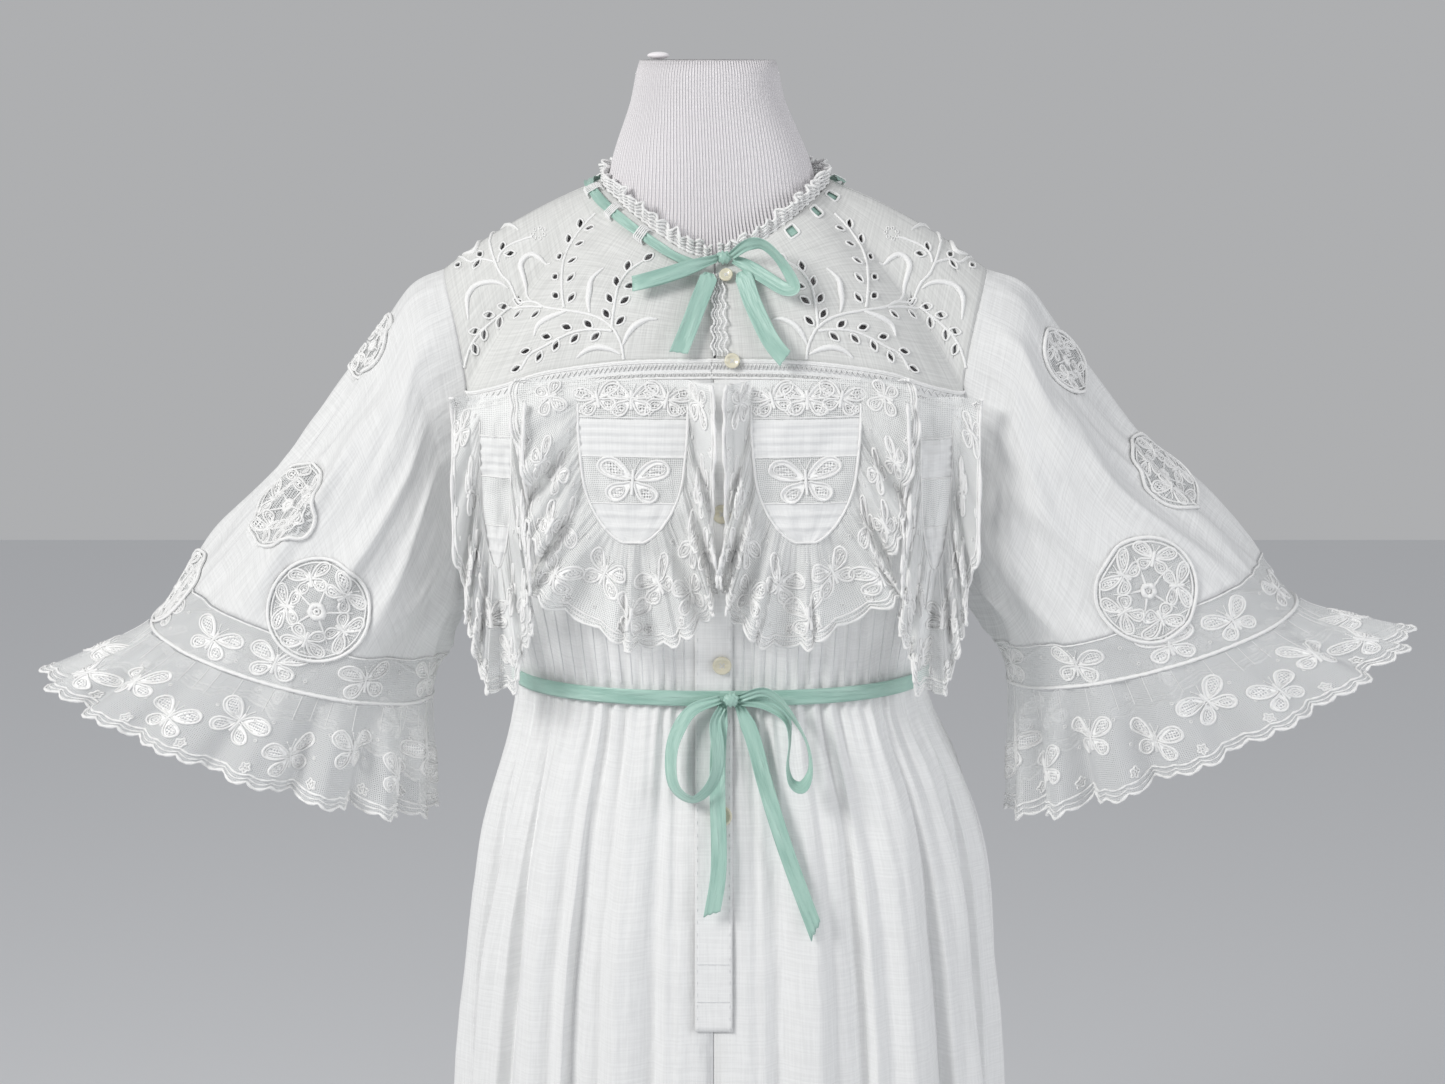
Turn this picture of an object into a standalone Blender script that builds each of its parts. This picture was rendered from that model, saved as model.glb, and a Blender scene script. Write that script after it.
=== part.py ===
"""Cotton dress with a lace bertha, worn by a limbless dress form on a round stand.

Metres, +Z up, the dress faces -Y. Sides are the wearer's: _l is +X, _r is -X.
Every cut or sewn piece is one closed wall of its own, 0.3 mm or more from its neighbours.
"""
import math

import bmesh
import bpy
from mathutils import Matrix, Vector

for old in list(bpy.data.objects):
    bpy.data.objects.remove(old)

# Walls and gaps
CLOTH = 0.0015
LACE = 0.0012
RIBBON = 0.0010
SEAM = 0.0004
FRILL_SEAM = 0.0013
LIFT = 0.0005

# Heights of the main lines above the floor
HEM_Z = 0.110
WAIST_Z = 1.020
BUST_Z = 1.190
ARM_Z = 1.100
PLACKET_END_Z = 0.762

# Widths
BAND = 0.014
PLACKET = 0.030
CENTRE_X = -0.001
BUTTON_X = 0.0056
RIBBON_WIDTH = 0.0125
SQUARE = 2.5

# Counts of gathers
FRONT_FOLDS = 14
BACK_FOLDS = 18
SLEEVE_FOLDS = 10
SLEEVE_FRILL_WAVES = 16
FRILL_WAVES = 7
NECK_WAVES = 18

# Body and skirt by height: half width, front depth, back depth, lean to +X, gather depth, swell
BODY = (
    (0.110, 0.276, 0.242, 0.232, 0.012, 0.0030, 0.0150),
    (0.450, 0.249, 0.212, 0.204, 0.012, 0.0030, 0.0120),
    (0.644, 0.232, 0.195, 0.187, 0.012, 0.0035, 0.0100),
    (0.810, 0.217, 0.179, 0.170, 0.013, 0.0040, 0.0070),
    (0.872, 0.208, 0.168, 0.157, 0.014, 0.0040, 0.0050),
    (0.934, 0.192, 0.152, 0.136, 0.012, 0.0040, 0.0030),
    (0.985, 0.174, 0.134, 0.110, 0.006, 0.0030, 0.0010),
    (1.020, 0.169, 0.125, 0.098, 0.004, 0.0014, 0.0000),
    (1.060, 0.178, 0.128, 0.102, 0.002, 0.0012, 0.0000),
    (1.100, 0.190, 0.131, 0.108, 0.000, 0.0012, 0.0000),
    (1.150, 0.203, 0.134, 0.113, 0.000, 0.0010, 0.0000),
    (1.200, 0.214, 0.135, 0.117, 0.000, 0.0010, 0.0000),
    (1.250, 0.219, 0.131, 0.119, 0.000, 0.0006, 0.0000),
    (1.300, 0.222, 0.121, 0.118, 0.000, 0.0004, 0.0000),
)
# Band under the yoke by angle from the front: height of its middle
BAND_LINE = (
    (0.0, 1.283),
    (30.0, 1.281),
    (50.0, 1.272),
    (62.0, 1.257),
    (70.0, 1.249),
    (110.0, 1.249),
    (118.0, 1.262),
    (135.0, 1.284),
    (180.0, 1.296),
)
# Angles at which the band meets the armhole, front and back
ARM_FRONT = 70.0
ARM_BACK = 110.0
# Neck seam by angle from the front: x, y, z
NECK = (
    (0.0, 0.000, -0.087, 1.362),
    (20.0, 0.026, -0.084, 1.372),
    (40.0, 0.051, -0.072, 1.388),
    (60.0, 0.073, -0.051, 1.404),
    (90.0, 0.0925, 0.000, 1.421),
    (120.0, 0.077, 0.046, 1.425),
    (150.0, 0.044, 0.069, 1.425),
    (180.0, 0.000, 0.077, 1.425),
)
# How far the yoke rounds out between band and neck, by angle
YOKE_ROUND = (
    (0.0, 0.004),
    (45.0, 0.010),
    (78.0, 0.009),
    (90.0, 0.006),
    (102.0, 0.009),
    (135.0, 0.012),
    (180.0, 0.008),
)
# Sleeves by station from armhole to frill edge:
# top x and z, underarm x and z, front depth, back depth, fold depth
SLEEVE_R = (
    (0.0, 0.2215, 1.350, 0.2015, 1.152, 0.066, 0.062, 0.0000),
    (1.0, 0.2510, 1.333, 0.2040, 1.130, 0.080, 0.078, 0.0020),
    (2.0, 0.2830, 1.280, 0.2060, 1.104, 0.092, 0.088, 0.0040),
    (3.0, 0.3370, 1.206, 0.2100, 1.080, 0.100, 0.094, 0.0050),
    (4.0, 0.3900, 1.149, 0.2200, 1.056, 0.104, 0.097, 0.0050),
    (5.0, 0.4380, 1.094, 0.2320, 1.029, 0.106, 0.099, 0.0040),
    (6.0, 0.4720, 1.056, 0.2395, 0.990, 0.106, 0.100, 0.0015),
    (7.0, 0.5150, 1.030, 0.2405, 0.942, 0.109, 0.102, 0.0060),
    (8.0, 0.5560, 1.009, 0.2415, 0.893, 0.112, 0.104, 0.0090),
)
SLEEVE_L = (
    (0.0, 0.2215, 1.350, 0.2015, 1.152, 0.066, 0.062, 0.0000),
    (1.0, 0.2550, 1.333, 0.2045, 1.130, 0.080, 0.078, 0.0020),
    (2.0, 0.2870, 1.284, 0.2075, 1.106, 0.092, 0.088, 0.0040),
    (3.0, 0.3400, 1.214, 0.2140, 1.088, 0.100, 0.094, 0.0050),
    (4.0, 0.3980, 1.163, 0.2260, 1.066, 0.104, 0.097, 0.0050),
    (5.0, 0.4510, 1.110, 0.2400, 1.040, 0.106, 0.099, 0.0040),
    (6.0, 0.4870, 1.074, 0.2475, 1.003, 0.106, 0.100, 0.0015),
    (7.0, 0.5310, 1.057, 0.2500, 0.948, 0.109, 0.102, 0.0060),
    (8.0, 0.5760, 1.044, 0.2515, 0.891, 0.112, 0.104, 0.0090),
)
# Round lace medallions: name, side of the wearer, station, angle round the sleeve, radius
MEDALLIONS = (
    ("medallion_front_r", -1, 4.40, 90.0, 0.042),
    ("medallion_top_r", -1, 3.50, 38.0, 0.040),
    ("medallion_head_r", -1, 1.90, 6.0, 0.030),
    ("medallion_outer_r", -1, 5.20, 6.0, 0.036),
    ("medallion_front_l", 1, 4.50, 80.0, 0.042),
    ("medallion_top_l", 1, 3.55, 14.0, 0.040),
    ("medallion_head_l", 1, 2.00, 18.0, 0.030),
)
# Bertha units: name, side, front or back, middle x, half width, drop,
# frill width toward the middle, below and toward the side, stand-off, fanning, stand-off where sewn
UNITS = (
    ("front_r", -1, 1, 0.064, 0.043, 0.128, 0.016, 0.076, 0.034, 0.006, 0.6, 0.0021),
    ("front_l", 1, 1, 0.071, 0.043, 0.128, 0.016, 0.076, 0.028, 0.006, 0.6, 0.0021),
    ("side_r", -1, 1, 0.173, 0.013, 0.136, 0.007, 0.092, 0.013, 0.013, 0.2, 0.0018),
    ("side_l", 1, 1, 0.175, 0.013, 0.136, 0.007, 0.092, 0.013, 0.013, 0.2, 0.0018),
    ("back_r", -1, -1, 0.066, 0.043, 0.128, 0.014, 0.076, 0.034, 0.006, 0.6, 0.0021),
    ("back_l", 1, -1, 0.066, 0.043, 0.128, 0.014, 0.076, 0.034, 0.006, 0.6, 0.0021),
)
# Front buttons: name, height, diameter, gap that the strip's bend leaves behind it
BUTTONS = (
    ("button_neck", 1.3475, 0.011, 0.0018),
    ("button_band", 1.2880, 0.012, 0.0011),
    ("button_chest", 1.1700, 0.015, 0.0002),
    ("button_waist", 1.0470, 0.015, 0.0013),
    ("button_hip", 0.9300, 0.016, 0.0015),
)
# Leaf eyelets of one half of the yoke: angle from the front, share from band to neck, turn, length
EYELETS = (
    (67.0, 0.667, 24.0, 0.0072),
    (60.4, 0.655, 144.0, 0.0072),
    (70.2, 0.747, 5.0, 0.0072),
    (63.2, 0.749, 152.0, 0.0072),
    (71.3, 0.820, 15.0, 0.0072),
    (65.2, 0.835, 153.0, 0.0072),
    (62.1, 0.562, 29.0, 0.0072),
    (56.1, 0.553, 119.0, 0.0072),
    (57.5, 0.451, 37.0, 0.0072),
    (51.7, 0.429, 118.0, 0.0072),
    (39.1, 0.334, 50.0, 0.0072),
    (34.1, 0.291, 130.0, 0.0072),
    (39.9, 0.441, 50.0, 0.0072),
    (34.8, 0.442, 130.0, 0.0072),
    (40.1, 0.564, 65.0, 0.0072),
    (34.8, 0.554, 150.0, 0.0072),
    (39.0, 0.690, 78.0, 0.0072),
    (33.0, 0.804, 112.0, 0.0072),
    (69.1, 0.419, -2.0, 0.0072),
    (72.2, 0.323, -68.0, 0.0072),
    (73.6, 0.225, -77.0, 0.0072),
    (74.0, 0.120, -88.0, 0.0072),
    (60.3, 0.356, -36.0, 0.0072),
    (66.0, 0.367, -56.0, 0.0072),
    (71.0, 0.284, -162.0, 0.0072),
    (72.3, 0.174, -173.0, 0.0072),
    (72.3, 0.100, 170.0, 0.0072),
    (43.3, 0.262, 38.0, 0.0072),
    (49.0, 0.248, 19.0, 0.0072),
    (53.5, 0.206, 22.0, 0.0072),
    (57.6, 0.150, 3.0, 0.0072),
    (58.1, 0.064, -10.0, 0.0072),
    (40.1, 0.179, -42.0, 0.0072),
    (45.6, 0.173, -49.0, 0.0072),
    (49.9, 0.141, -67.0, 0.0072),
    (53.2, 0.094, -61.0, 0.0072),
    (84.0, 0.240, -17.0, 0.0072),
    (82.3, 0.212, -129.0, 0.0072),
    (85.9, 0.095, -19.0, 0.0072),
    (81.5, 0.383, 13.0, 0.0072),
    (78.8, 0.417, 110.0, 0.0072),
)
# Ribbon slots of the wearer's left half: angles from the front, and how far under the neck seam
SLOTS = (44.0, 62.0, 77.0)
SLOT_DOWN = 0.0085
# Bow strips: x, y in front of the cloth, z, lean of the width (0 edge-on, 90 facing front)
WAIST_LOOP_R = (
    (0.0044, 0.0118, 1.0205, 74.0),
    (-0.018, 0.015, 1.0120, 62.0),
    (-0.031, 0.018, 0.9930, 55.0),
    (-0.0345, 0.020, 0.9730, 50.0),
    (-0.031, 0.021, 0.9560, 48.0),
    (-0.018, 0.021, 0.9480, 40.0),
    (-0.006, 0.020, 0.9550, 45.0),
    (0.0010, 0.018, 0.9680, 50.0),
    (0.0020, 0.016, 0.9850, 55.0),
    (0.0000, 0.0125, 1.0030, 62.0),
    (0.0054, 0.0093, 1.0139, 74.0),
)
WAIST_LOOP_L = (
    (0.0186, 0.0118, 1.0215, 74.0),
    (0.0380, 0.018, 1.0280, 58.0),
    (0.0520, 0.022, 1.0200, 40.0),
    (0.0650, 0.026, 1.0040, 22.0),
    (0.0740, 0.027, 0.9860, 14.0),
    (0.0755, 0.027, 0.9680, 16.0),
    (0.0690, 0.027, 0.9570, 34.0),
    (0.0600, 0.026, 0.9600, 18.0),
    (0.0565, 0.024, 0.9720, 10.0),
    (0.0585, 0.018, 0.9900, 12.0),
    (0.0560, 0.015, 1.0060, 30.0),
    (0.0400, 0.0110, 1.0160, 60.0),
    (0.0202, 0.0095, 1.0185, 74.0),
)
WAIST_TAIL_R = (
    (0.0062, 0.0049, 1.0150, 90.0),
    (0.0030, 0.005, 0.9900, 90.0),
    (0.0020, 0.005, 0.9530, 90.0),
    (0.0030, 0.006, 0.8940, 90.0),
    (-0.0030, 0.006, 0.8550, 90.0),
)
WAIST_TAIL_L = (
    (0.0190, 0.0047, 1.0150, 90.0),
    (0.0300, 0.005, 0.9900, 90.0),
    (0.0400, 0.005, 0.9550, 90.0),
    (0.0570, 0.006, 0.9040, 90.0),
    (0.0820, 0.006, 0.8380, 90.0),
)
NECK_LOOP_R = (
    (0.0018, 0.0002, 1.3660, 80.0),
    (-0.0170, 0.0110, 1.3610, 80.0),
    (-0.0380, 0.0150, 1.3550, 80.0),
    (-0.0570, 0.0170, 1.3500, 80.0),
    (-0.0640, 0.0140, 1.3480, 80.0),
    (-0.0570, 0.0105, 1.3490, 80.0),
    (-0.0380, 0.0085, 1.3535, 80.0),
    (-0.0150, 0.0052, 1.3610, 80.0),
    (-0.0002, -0.0020, 1.3655, 80.0),
)
NECK_LOOP_L = (
    (0.0122, 0.0002, 1.3680, 80.0),
    (0.0250, 0.014, 1.3780, 64.0),
    (0.0370, 0.018, 1.3790, 46.0),
    (0.0490, 0.020, 1.3690, 40.0),
    (0.0590, 0.020, 1.3540, 46.0),
    (0.0620, 0.018, 1.3450, 44.0),
    (0.0540, 0.014, 1.3440, 58.0),
    (0.0410, 0.009, 1.3510, 66.0),
    (0.0250, 0.0030, 1.3605, 76.0),
    (0.0144, -0.0022, 1.3650, 80.0),
)
NECK_TAIL_R = (
    (-0.0042, 0.0050, 1.3553, 90.0),
    (-0.0060, 0.0066, 1.3490, 90.0),
    (-0.0120, 0.010, 1.3350, 90.0),
    (-0.0200, 0.010, 1.3150, 90.0),
    (-0.0290, 0.010, 1.2940, 90.0),
)
NECK_TAIL_L = (
    (0.0202, 0.0050, 1.3563, 90.0),
    (0.0238, 0.0070, 1.3490, 90.0),
    (0.0300, 0.010, 1.3320, 90.0),
    (0.0430, 0.010, 1.3060, 90.0),
    (0.0560, 0.010, 1.2900, 90.0),
)
# Dress form by height: half width, front depth, back depth
FORM = (
    (0.780, 0.150, 0.112, 0.112),
    (0.800, 0.170, 0.126, 0.128),
    (0.860, 0.180, 0.132, 0.134),
    (0.940, 0.168, 0.122, 0.112),
    (1.020, 0.146, 0.104, 0.080),
    (1.090, 0.158, 0.113, 0.088),
    (1.160, 0.171, 0.120, 0.098),
    (1.220, 0.178, 0.118, 0.102),
    (1.280, 0.190, 0.106, 0.100),
    (1.320, 0.191, 0.092, 0.092),
    (1.342, 0.180, 0.080, 0.082),
    (1.360, 0.158, 0.070, 0.074),
    (1.376, 0.130, 0.064, 0.068),
    (1.392, 0.098, 0.060, 0.064),
    (1.410, 0.0875, 0.058, 0.062),
    (1.425, 0.0840, 0.057, 0.061),
    (1.446, 0.0780, 0.056, 0.059),
    (1.486, 0.0625, 0.053, 0.056),
    (1.508, 0.0580, 0.052, 0.054),
    (1.518, 0.0550, 0.049, 0.051),
)


# Curves through tables
def slope(table, row, column):
    low = max(row - 1, 0)
    high = min(row + 1, len(table) - 1)
    rise = table[high][column] - table[low][column]
    return rise / (table[high][0] - table[low][0])


def along(table, key):
    """Smooth values of a table's other columns at a key of its first."""
    row = 0
    while row < len(table) - 2 and key > table[row + 1][0]:
        row += 1
    span = table[row + 1][0] - table[row][0]
    t = (key - table[row][0]) / span
    t = min(max(t, 0.0), 1.0)
    values = []
    for column in range(1, len(table[0])):
        start = table[row][column]
        end = table[row + 1][column]
        lead = slope(table, row, column) * span
        trail = slope(table, row + 1, column) * span
        bend = (1 - t) * lead - t * trail
        ease = t * t * (3 - 2 * t)
        values.append(start + (end - start) * ease + t * (1 - t) * bend)
    return values


def fold_back(degrees):
    """Angle from the front on either side, 0 to 180."""
    turned = abs(degrees) % 360.0
    return 360.0 - turned if turned > 180.0 else turned


# Body surface
def ring(degrees, z, out=0.0):
    """Point of the body's plain surface at an angle from the front, + toward +X."""
    half, front, back, lean, _, _ = along(BODY, z)
    side = math.sin(math.radians(degrees))
    ahead = math.cos(math.radians(degrees))
    depth = front if ahead > 0 else back
    reach = abs(side / half) ** SQUARE + abs(ahead / depth) ** SQUARE
    radius = reach ** (-1 / SQUARE)
    x = radius * side
    y = -radius * ahead
    nx = math.copysign(abs(x / half) ** (SQUARE - 1) / half, x)
    ny = math.copysign(abs(y / depth) ** (SQUARE - 1) / depth, y)
    size = math.hypot(nx, ny)
    return Vector((x + lean + out * nx / size, y + out * ny / size, z))


def front_y(x, z):
    """Depth of the body's plain surface at a sideways place, without its sign."""
    half, front, back, lean, _, _ = along(BODY, z)
    share = min(abs(x - lean) / half, 0.999)
    round_off = (1 - share**SQUARE) ** (1 / SQUARE)
    return front * round_off, back * round_off


def arm(degrees):
    """Armhole seam: 0 at the shoulder, 90 at the front, 180 under the arm. For +X."""
    turn = math.radians(degrees)
    deep = 0.066 if math.sin(turn) > 0 else 0.062
    x = 0.2050 + 0.0100 * math.cos(turn) + 0.0065 * math.cos(2 * turn)
    return Vector((x, -deep * math.sin(turn), 1.251 + 0.099 * math.cos(turn)))


def seam(degrees, up):
    """Seam line above (up=1) or below (up=-1) the band, then round the armhole."""
    place = fold_back(degrees)
    side = 1.0 if (degrees % 360.0) < 180.0 else -1.0
    step = 4.0
    if ARM_FRONT <= place <= ARM_BACK:
        share = (place - ARM_FRONT) / (ARM_BACK - ARM_FRONT)
        low = 90.0 - step * up
        turn = low * (1 - 2 * share) if up > 0 else low + (360 - 2 * low) * share
        point = arm(turn)
        return Vector((point.x * side, point.y, point.z))
    z = along(BAND_LINE, place)[0] + up * (BAND / 2 + SEAM / 2)
    point = ring(degrees, z)
    near = ARM_FRONT if place < 90 else ARM_BACK
    blend = max(0.0, 1 - abs(place - near) / 12.0)
    turn = 90.0 - step * up if place < 90 else 270.0 + step * up
    target = arm(turn)
    target.x *= side
    return point.lerp(target, blend * blend)


def gather(share, folds, swells):
    """Height of fine gathers and of broad swells at a share across a panel."""
    fine = math.sin(share * folds * 2 * math.pi)
    broad = math.sin(share * swells * 2 * math.pi + 0.6 * math.sin(share * 9.0))
    calm = min(share, 1 - share, 0.08) / 0.08
    return fine * calm, broad * math.sin(min(share, 1 - share, 0.12) / 0.12 * math.pi / 2)


def panel_angle(share, z, side):
    """Angle of a share across a front panel; below zero is the flat strip at the buttons."""
    front = along(BODY, z)[1]
    lean = along(BODY, z)[3]
    edge = CENTRE_X + side * (PLACKET / 2 + 0.0025) - lean
    flat = math.degrees(math.atan2(edge, front))
    if share < 0:
        middle = CENTRE_X + side * SEAM / 2 - lean
        return math.degrees(math.atan2(middle, front))
    return flat + (side * 90.0 - flat) * share


def body_point(degrees, level, share, folds, swells, lift=0.0):
    """Point of a body panel. level 0 to 2 runs from the seam to ARM_Z, over 2 is a height."""
    fine, broad = gather(share, folds, swells) if share > 0 else (0.0, 0.0)
    if level <= 2:
        top = seam(degrees, -1)
        z = top.z + (ARM_Z - top.z) * level / 2
        depth = along(BODY, z)
        wave = depth[4] * fine * min(level, 1.0)
        plain = ring(degrees, z, wave + lift)
        return plain + (top - ring(degrees, top.z)) * (1 - level / 2)
    z = level - 10.0
    depth = along(BODY, z)
    return ring(degrees, z, depth[4] * fine + depth[5] * broad + lift)


# Yoke surface
def yoke_point(degrees, share, lift=0.0):
    """Point of the yoke: share 0 at the band or armhole, 1 at the neck seam."""
    place = fold_back(degrees)
    side = 1.0 if (degrees % 360.0) < 180.0 else -1.0
    low = seam(degrees, 1)
    x, y, z = along(NECK, place)
    high = Vector((x * side, y, z))
    turn = math.radians(degrees)
    across = Vector((math.cos(turn), math.sin(turn), 0.0))
    outward = (low - high).cross(across).normalized()
    bulge = along(YOKE_ROUND, place)[0] * 4 * share * (1 - share)
    return low.lerp(high, share) + outward * (bulge + lift)


def neck_ribbon_point(degrees, down, lift):
    """Point on the yoke a distance under the neck seam."""
    place = fold_back(degrees)
    side = 1.0 if (degrees % 360.0) < 180.0 else -1.0
    x, y, z = along(NECK, place)
    length = (seam(degrees, 1) - Vector((x * side, y, z))).length
    return yoke_point(degrees, 1 - down / length, lift)


# Sleeve surface
def sleeve_point(table, side, station, degrees, lift=0.0, waves=SLEEVE_FOLDS):
    top_x, top_z, under_x, under_z, front, back, fold = along(table, station)
    turn = math.radians(degrees)
    up = math.cos(turn)
    ahead = math.sin(turn)
    deep = front if ahead > 0 else back
    middle = Vector(((top_x + under_x) / 2, 0.0, (top_z + under_z) / 2))
    reach = Vector(((top_x - under_x) / 2, 0.0, (top_z - under_z) / 2))
    point = middle + reach * up + Vector((0.0, -deep * ahead, 0.0))
    outward = reach * (up / reach.length_squared) + Vector((0.0, -ahead / deep, 0.0))
    outward.normalize()
    point += outward * (fold * math.sin(turn * waves) + lift)
    if station < 1:
        first = middle + reach * up + Vector((0.0, -deep * ahead, 0.0))
        hole = arm(degrees) + Vector((SEAM + 0.0008, 0.0, 0.0))
        start = along(table, 0.0)
        base = Vector(((start[0] + start[2]) / 2, 0.0, (start[1] + start[3]) / 2))
        base += Vector(((start[0] - start[2]) / 2, 0.0, (start[1] - start[3]) / 2)) * up
        base += Vector((0.0, -(start[4] if ahead > 0 else start[5]) * ahead, 0.0))
        point += (hole - base) * (1 - station)
    return Vector((point.x * side, point.y, point.z))


# Bertha surface
def chest_point(side, face, x, z, out):
    """Point a distance in front of the chest (face 1) or the back (face -1)."""
    inner = min(x, 0.165)
    ahead, behind = front_y(inner, min(max(z, BUST_Z), 1.295))
    depth = ahead if face > 0 else behind
    depth -= 0.45 * max(x - 0.165, 0.0)
    return Vector((side * x, -face * (depth + out), z))


def unit_edge(unit, t):
    """Tongue's edge at t from the inner top corner round to the outer one, and its way out."""
    _, side, face, mid, half, drop, _, _, _, _, _, _ = unit
    straight = drop * 0.58
    low = drop - straight
    arc = math.pi * math.sqrt((half * half + low * low) / 2)
    total = 2 * straight + arc
    run = t * total
    if run < straight:
        return mid - half, -run, Vector((-1.0, 0.0))
    if run > straight + arc:
        return mid + half, -(total - run), Vector((1.0, 0.0))
    turn = math.pi * (run - straight) / arc
    x = mid - half * math.cos(turn)
    z = -straight - low * math.sin(turn)
    out = Vector((-math.cos(turn) / half, -math.sin(turn) / low))
    return x, z, out.normalized()


def unit_top(mid, face):
    """Height at which a unit hangs from the band."""
    near = math.degrees(math.asin(min(mid / 0.21, 1.0)))
    angle = near if face > 0 else 180.0 - near
    return along(BAND_LINE, angle)[0] - BAND / 2 - 0.001


def stand_off(unit, fall):
    """Distance of a bertha unit from the chest at a fall below its top."""
    drop, stand, sewn = unit[5], unit[9], unit[11]
    share = min(fall / drop, 1.0)
    return sewn + (stand - sewn) * min(share * 4, 1.0) + 0.004 * share


def tongue_point(unit, across, down):
    """across -1 to 1 from the inner to the outer side, down 0 to 1."""
    _, side, face, mid, half, drop, _, _, _, stand, _, _ = unit
    x = mid + half * across
    straight = drop * 0.58
    length = straight + (drop - straight) * math.sqrt(max(1 - across * across, 0.0))
    fall = length * down
    out = stand_off(unit, fall)
    return chest_point(side, face, x, unit_top(mid, face) - fall, out)


def frill_point(unit, t, r):
    """Gathered lace round a tongue: t along its edge, r 0 at the seam and 1 at the scallops."""
    _, side, face, mid, half, drop, inner, below, outer, stand, fan, _ = unit
    x, z, way = unit_edge(unit, t)
    width = inner if way.x < 0 else outer
    reach = width * way.x * way.x + below * way.y * way.y
    rise = stand_off(unit, -z)
    x += way.x * (FRILL_SEAM + (width + fan * (reach - width)) * r)
    z += way.y * (FRILL_SEAM + reach * r)
    flare = 0.020 - 0.010 * abs(way.y)
    wave = 0.0065 * math.sin(2 * math.pi * FRILL_WAVES * t) * r
    out = rise + flare * r + wave
    return chest_point(side, face, x, unit_top(mid, face) + z, out)


# Solids
def shade(name, colour, rough, metal=0.0):
    material = bpy.data.materials.new(name)
    material.use_nodes = True
    surface = material.node_tree.nodes["Principled BSDF"]
    surface.inputs["Base Color"].default_value = (*colour, 1.0)
    surface.inputs["Roughness"].default_value = rough
    surface.inputs["Metallic"].default_value = metal
    material.diffuse_color = (*colour, 1.0)
    material.roughness = rough
    material.metallic = metal
    return material


def finish(name, bm, look):
    mesh = bpy.data.meshes.new(name)
    bm.to_mesh(mesh)
    bm.free()
    made = bpy.data.objects.new(name, mesh)
    bpy.context.collection.objects.link(made)
    mesh.materials.append(shade(name, *look))
    return made


def sheet(name, us, vs, place, wall, look, ring_round=False, other_side=False, offset=-1.0):
    """Wall of cloth over a grid us by vs, its outer face on place(u, v)."""
    bm = bmesh.new()
    bmesh.ops.create_grid(bm, x_segments=len(us) - 1, y_segments=len(vs) - 1, size=0.5)
    bm.verts.ensure_lookup_table()
    for row, v in enumerate(vs):
        for column, u in enumerate(us):
            bm.verts[row * len(us) + column].co = place(u, v)
    if ring_round:
        bmesh.ops.remove_doubles(bm, verts=bm.verts, dist=1e-6)
    if other_side:
        bmesh.ops.reverse_faces(bm, faces=bm.faces)
    made = finish(name, bm, look)
    thick = made.modifiers.new("wall", "SOLIDIFY")
    thick.thickness = wall
    thick.offset = offset
    thick.use_even_offset = True
    return made


def spread(start, end, steps):
    return [start + (end - start) * step / steps for step in range(steps + 1)]


def cutter(name, bm):
    mesh = bpy.data.meshes.new(name)
    bm.to_mesh(mesh)
    bm.free()
    tool = bpy.data.objects.new(name, mesh)
    bpy.context.collection.objects.link(tool)
    tool.hide_render = True
    tool.display_type = "WIRE"
    return tool


def cut(made, tool, how):
    step = made.modifiers.new(how.lower(), "BOOLEAN")
    step.operation = how
    step.solver = "EXACT"
    step.object = tool


LAWN = ((0.86, 0.88, 0.89), 0.85)
SHEER = ((0.74, 0.75, 0.75), 0.85)
NET = ((0.78, 0.79, 0.78), 0.90)
MINT = ((0.33, 0.58, 0.49), 0.45)
PEARL = ((0.78, 0.74, 0.60), 0.30)
JERSEY = ((0.76, 0.72, 0.78), 0.90)
STAND = ((0.05, 0.05, 0.05), 0.40)


# Body panels, cut in one with the skirt
LEVELS = (0.0, 1.0, 2.0, 10 + WAIST_Z, 10.975, 10.90, 10.78, 10.50, 10 + HEM_Z)


def quarter_steps(folds):
    return [0.0] + [(step + 0.5) / (2 * folds) for step in range(2 * folds)] + [1.0]


def front_place(side):
    def place(share, level):
        z = level - 10 if level > 2 else 1.15
        degrees = panel_angle(share, z, side)
        return body_point(degrees, level, share, FRONT_FOLDS, 5)

    return place


def back_place(share, level):
    degrees = 90.15 + 179.7 * share
    return body_point(degrees, level, share, BACK_FOLDS, 9)


def side_gap(share):
    return share if share < 1 else 0.998


for side, tag in ((1, "l"), (-1, "r")):
    sheet(
        "front_" + tag,
        [-1.0] + [side_gap(share) for share in quarter_steps(FRONT_FOLDS)],
        LEVELS[::-1],
        front_place(side),
        CLOTH,
        LAWN,
        other_side=side < 0,
    )
sheet("back", quarter_steps(BACK_FOLDS), LEVELS[::-1], back_place, CLOTH, LAWN)

# Corded band under the yoke
for side, tag in ((1, "l"), (-1, "r")):
    sheet(
        "band_front_" + tag,
        [side * angle for angle in [1.5] + spread(8.0, ARM_FRONT - 0.3, 9)],
        [0.0, 1.0],
        lambda angle, up: seam(angle, -1).lerp(seam(angle, 1), 0.085 + 0.79 * up),
        CLOTH,
        NET,
        other_side=side < 0,
    )
sheet(
    "band_back",
    spread(ARM_BACK + 0.3, 360.0 - ARM_BACK - 0.3, 18),
    [0.0, 1.0],
    lambda angle, up: seam(angle, -1).lerp(seam(angle, 1), 0.085 + 0.79 * up),
    CLOTH,
    NET,
)


# Yoke with its leaf eyelets and ribbon slots
def share_under_neck(angle, down):
    x, y, z = along(NECK, fold_back(angle))
    side = 1.0 if (angle % 360.0) < 180.0 else -1.0
    return 1 - down / (seam(angle, 1) - Vector((x * side, y, z))).length


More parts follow.
